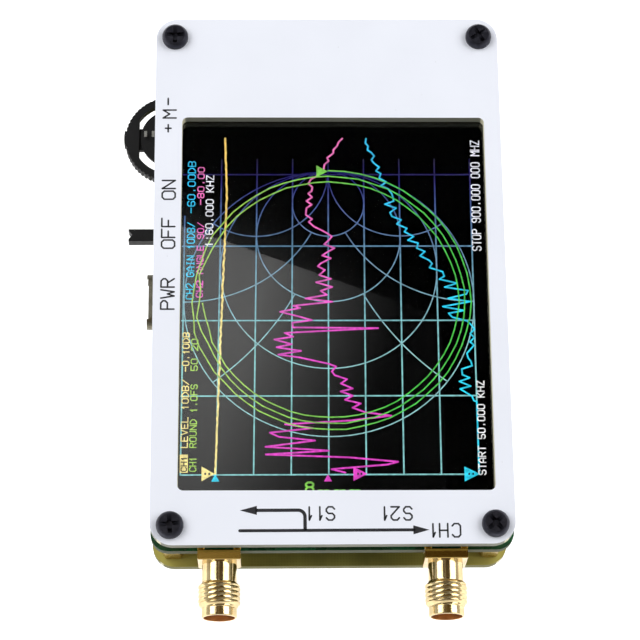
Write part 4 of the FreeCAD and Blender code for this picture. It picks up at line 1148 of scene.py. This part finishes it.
def display_picture():
    """Graticule, round chart, traces, markers and generic readouts."""
    Picture(0).lines(grid_paths(), 0.22).piece("screen_grid", GRID_INK)
    Picture(1).lines(chart_paths(), 0.17).piece("screen_chart", CHART_INK)
    level = Picture(2).lines([noisy_trace(LEVEL_STRETCHES, 1)], 0.3)
    level.patches(pointer((-17.5, -31.3), 1.95, 1.15), block((-22.7, -31.1), (-21.5, -28.3)))
    level.readout("LEVEL 10DB/", -21.6, -27.3, -16.4, 0.95).readout("-0.10DB", -21.5, -15.3, -8.9, 0.95)
    level.piece("screen_level", YELLOW_INK)
    gain = Picture(3).lines([noisy_trace(GAIN_STRETCHES, 3773, 22.1)], 0.24)
    gain.patches(pointer((22.1, -31.5), 2.3, 1.15), peg((-17.4, -31.35), 1.15, 0.62))
    gain.readout("CH2 GAIN 10DB/", -20.9, -3.7, 9.1, 1.1).readout("-60.00DB", -20.8, 10.5, 19.4, 1.1)
    gain.piece("screen_gain", CYAN_INK)
    phase = Picture(4).lines([noisy_trace(PHASE_STRETCHES, 1385)], 0.26)
    phase.patches(pointer((5.3, -31.4), 2.1, 1.1), peg((-0.6, -31.45), 1.1, 0.6))
    phase.readout("CH2 ANGLE 90/", -19.5, -3.4, 9.1, 0.95).readout("-80.00", -19.4, 11.9, 18.4, 0.95)
    phase.piece("screen_phase", MAGENTA_INK)
    loops = Picture(5).lines([loop_path()], 0.2).patches(pointer((-0.1, 17.5), 1.75, 1.0))
    loops.readout("CH1", -20.3, -31.0, -28.6, 0.95).readout("ROUND 1.0FS", -20.3, -27.3, -17.2, 0.95)
    loops.readout("50 20", -20.2, -15.2, -9.9, 0.95)
    loops.lines(text_paths("8", (-3.9, -34.15), (1, 0), 1.45, 1.1), 0.3)
    loops.lines([[(x, -33.95), (x + 0.55, -33.95)] for x in (-2.0, -1.1, 0.4, 1.3, 2.7, 3.5)], 0.3)
    loops.piece("screen_loops", GREEN_INK)
    words = Picture(6).readout("1:60.000 KHZ", -18.0, 4.9, 17.0, 1.1)
    words.readout("STOP 900.000 000 MHZ", 23.45, 4.1, 22.8, 1.3)
    words.readout("START 50.000 KHZ", 23.0, -31.7, -16.8, 1.05)
    words.piece("screen_readouts", WHITE_INK)
    dots = Picture(7)
    for x, y in ((-18.9, -31.3), (-18.3, -31.3), (20.5, -31.5), (21.1, -31.5), (3.9, -31.4), (4.4, -31.4)):
        dots.patches(block((x - 0.13, y - 0.17), (x + 0.13, y + 0.17)))
    dots.readout("CH1", -21.7, -31.0, -28.5, 0.8)
    dots.piece("screen_marks", DARK_INK)


# ---- stage, lights and camera ----

def stage_sheet(name, outline, finish):
    """A flat thing that belongs to the studio."""
    mesh = bpy.data.meshes.new(name)
    mesh.from_pydata(outline, [], [list(range(len(outline)))])
    mesh.materials.append(finish.material)
    made = place_object(name, mesh)
    return made


def pale_floor():
    glow = {"Emission_Strength": 0.7, "Emission_Color": WHITE}
    finish = Finish("pale_floor", (0.9, 0.9, 0.9, 1.0), 0.8, **glow)
    finish.colour(finish.noise(400.0), (0.92, 0.92, 0.92, 1.0), (0.9, 0.9, 0.905, 1.0))
    half, z = 4.0, -0.0002
    stage_sheet("floor", [(-half, -half, z), (half, -half, z), (half, half, z), (-half, half, z)], finish)


def soft_world():
    """A dim studio: pale all round and dark straight above, so that the display's glass stays black."""
    world = bpy.data.worlds.new("studio")
    bpy.context.scene.world = world
    world.use_nodes = True
    nodes, links = world.node_tree.nodes, world.node_tree.links
    background = nodes["Background"]
    split = nodes.new("ShaderNodeSeparateXYZ")
    links.new(nodes.new("ShaderNodeTexCoord").outputs["Generated"], split.inputs[0])
    ramp = nodes.new("ShaderNodeMapRange")
    links.new(split.outputs["Z"], ramp.inputs["Value"])
    for socket, value in (("From Min", 0.2), ("From Max", 0.85), ("To Min", 0.6), ("To Max", 0.0)):
        ramp.inputs[socket].default_value = value
    links.new(ramp.outputs[0], background.inputs["Strength"])
    background.inputs["Color"].default_value = WHITE


SOFTBOX_SIZE = (0.9, 0.56)
SOFTBOX_POWER = 5.4
SOFTBOX_TARGET = Vector((0.0, 0.0, 0.01))


def softbox(name, position):
    light = bpy.data.lights.new(name, "AREA")
    light.shape = "RECTANGLE"
    light.size, light.size_y = SOFTBOX_SIZE
    light.energy = SOFTBOX_POWER
    made = place_object(name, light)
    made.location = position
    made.rotation_euler = (SOFTBOX_TARGET - Vector(position)).to_track_quat("-Z", "Y").to_euler()


CAMERA_PLACE = Vector((-8.884, -123.644, 347.73)) * MM
CAMERA_TURN = (19.244, -1.1896, -0.2031)
LENS = 130.39


def photo_camera():
    camera = place_object("camera", bpy.data.cameras.new("camera"))
    camera.location = CAMERA_PLACE
    camera.rotation_mode = "ZYX"
    camera.rotation_euler = [math.radians(angle) for angle in CAMERA_TURN]
    camera.data.lens = LENS
    camera.data.clip_start = 0.01
    camera.data.clip_end = 20.0
    bpy.context.scene.camera = camera


CARD_HEIGHT = 0.5


def above(x, y):
    """The point overhead whose mirror image the camera sees at this place on the display's glass."""
    glass_z = TOUCH_HIGH.z * MM
    below = CAMERA_PLACE.z - glass_z
    mirrored = Vector((CAMERA_PLACE.x, CAMERA_PLACE.y, glass_z - below))
    point = Vector((x * MM, y * MM, glass_z))
    return mirrored + (point - mirrored) * ((below + CARD_HEIGHT) / below)


def hang_card(name, outline, finish):
    """A glowing card that shows only in reflections."""
    card = stage_sheet(name, outline, finish)
    card.visible_camera = False
    card.visible_diffuse = False
    card.visible_shadow = False


def glare_card():
    """A grey card overhead whose mirror image lies across the lower left of the display's glass."""
    outline = [above(-34, 12.6), above(17, -6.7), above(17, -44), above(-34, -44)]
    finish = Finish("card_light", BLACK, 1.0, Emission_Strength=1.0)
    slant = 0.28
    near, far = above(-10, 0), above(13, 0)
    across = finish.math("MULTIPLY_ADD", finish.axis("Y"), -slant, finish.axis("X"))
    ends = [(point.x - slant * point.y) / MM for point in (near, far)]
    falloff = finish.math("POWER", finish.ramp(across, *ends, 1.0, 0.0), 1.6)
    low_end, high_end = above(0, -34).y / MM, above(0, -8).y / MM
    falloff = finish.math("MULTIPLY", falloff, finish.ramp(finish.axis("Y"), low_end, high_end, 0.62, 1.0))
    finish.glow(finish.blend(falloff, BLACK, (0.95, 0.94, 0.93, 1.0)))
    hang_card("glare_card", outline, finish)


def port_card():
    """A dim warm card whose mirror image fills the tops of the ports, clear of the display."""
    near_y = above(0, BOARD_LOW.y - 0.7).y
    far_y, half, z = -0.5, 0.3, above(0, 0).z
    outline = [(-half, far_y, z), (half, far_y, z), (half, near_y, z), (-half, near_y, z)]
    finish = Finish("port_card_light", BLACK, 1.0, Emission_Strength=1.0)
    finish.glow(finish.blend(finish.noise(60.0), (102, 80, 20), (78, 60, 26)))
    hang_card("port_card", outline, finish)


def studio():
    pale_floor()
    soft_world()
    softbox("left_softbox", (-0.55, 0.18, 0.66))
    softbox("right_softbox", (0.6, 0.18, 0.6))
    glare_card()
    port_card()
    bpy.context.scene.view_settings.view_transform = "Standard"


dress_cad_nodes()
port_body("port_one_body", -PORT_X, True)
port_body("port_two_body", PORT_X, False)
chip_capacitors()
chip_resistors()
board_legend()
board_tracks()
battery_wrap()
wheel_ribs()
carriage_marks()
shell_seam()
panel_labels()
panel_arrows()
display_picture()
photo_camera()
studio()
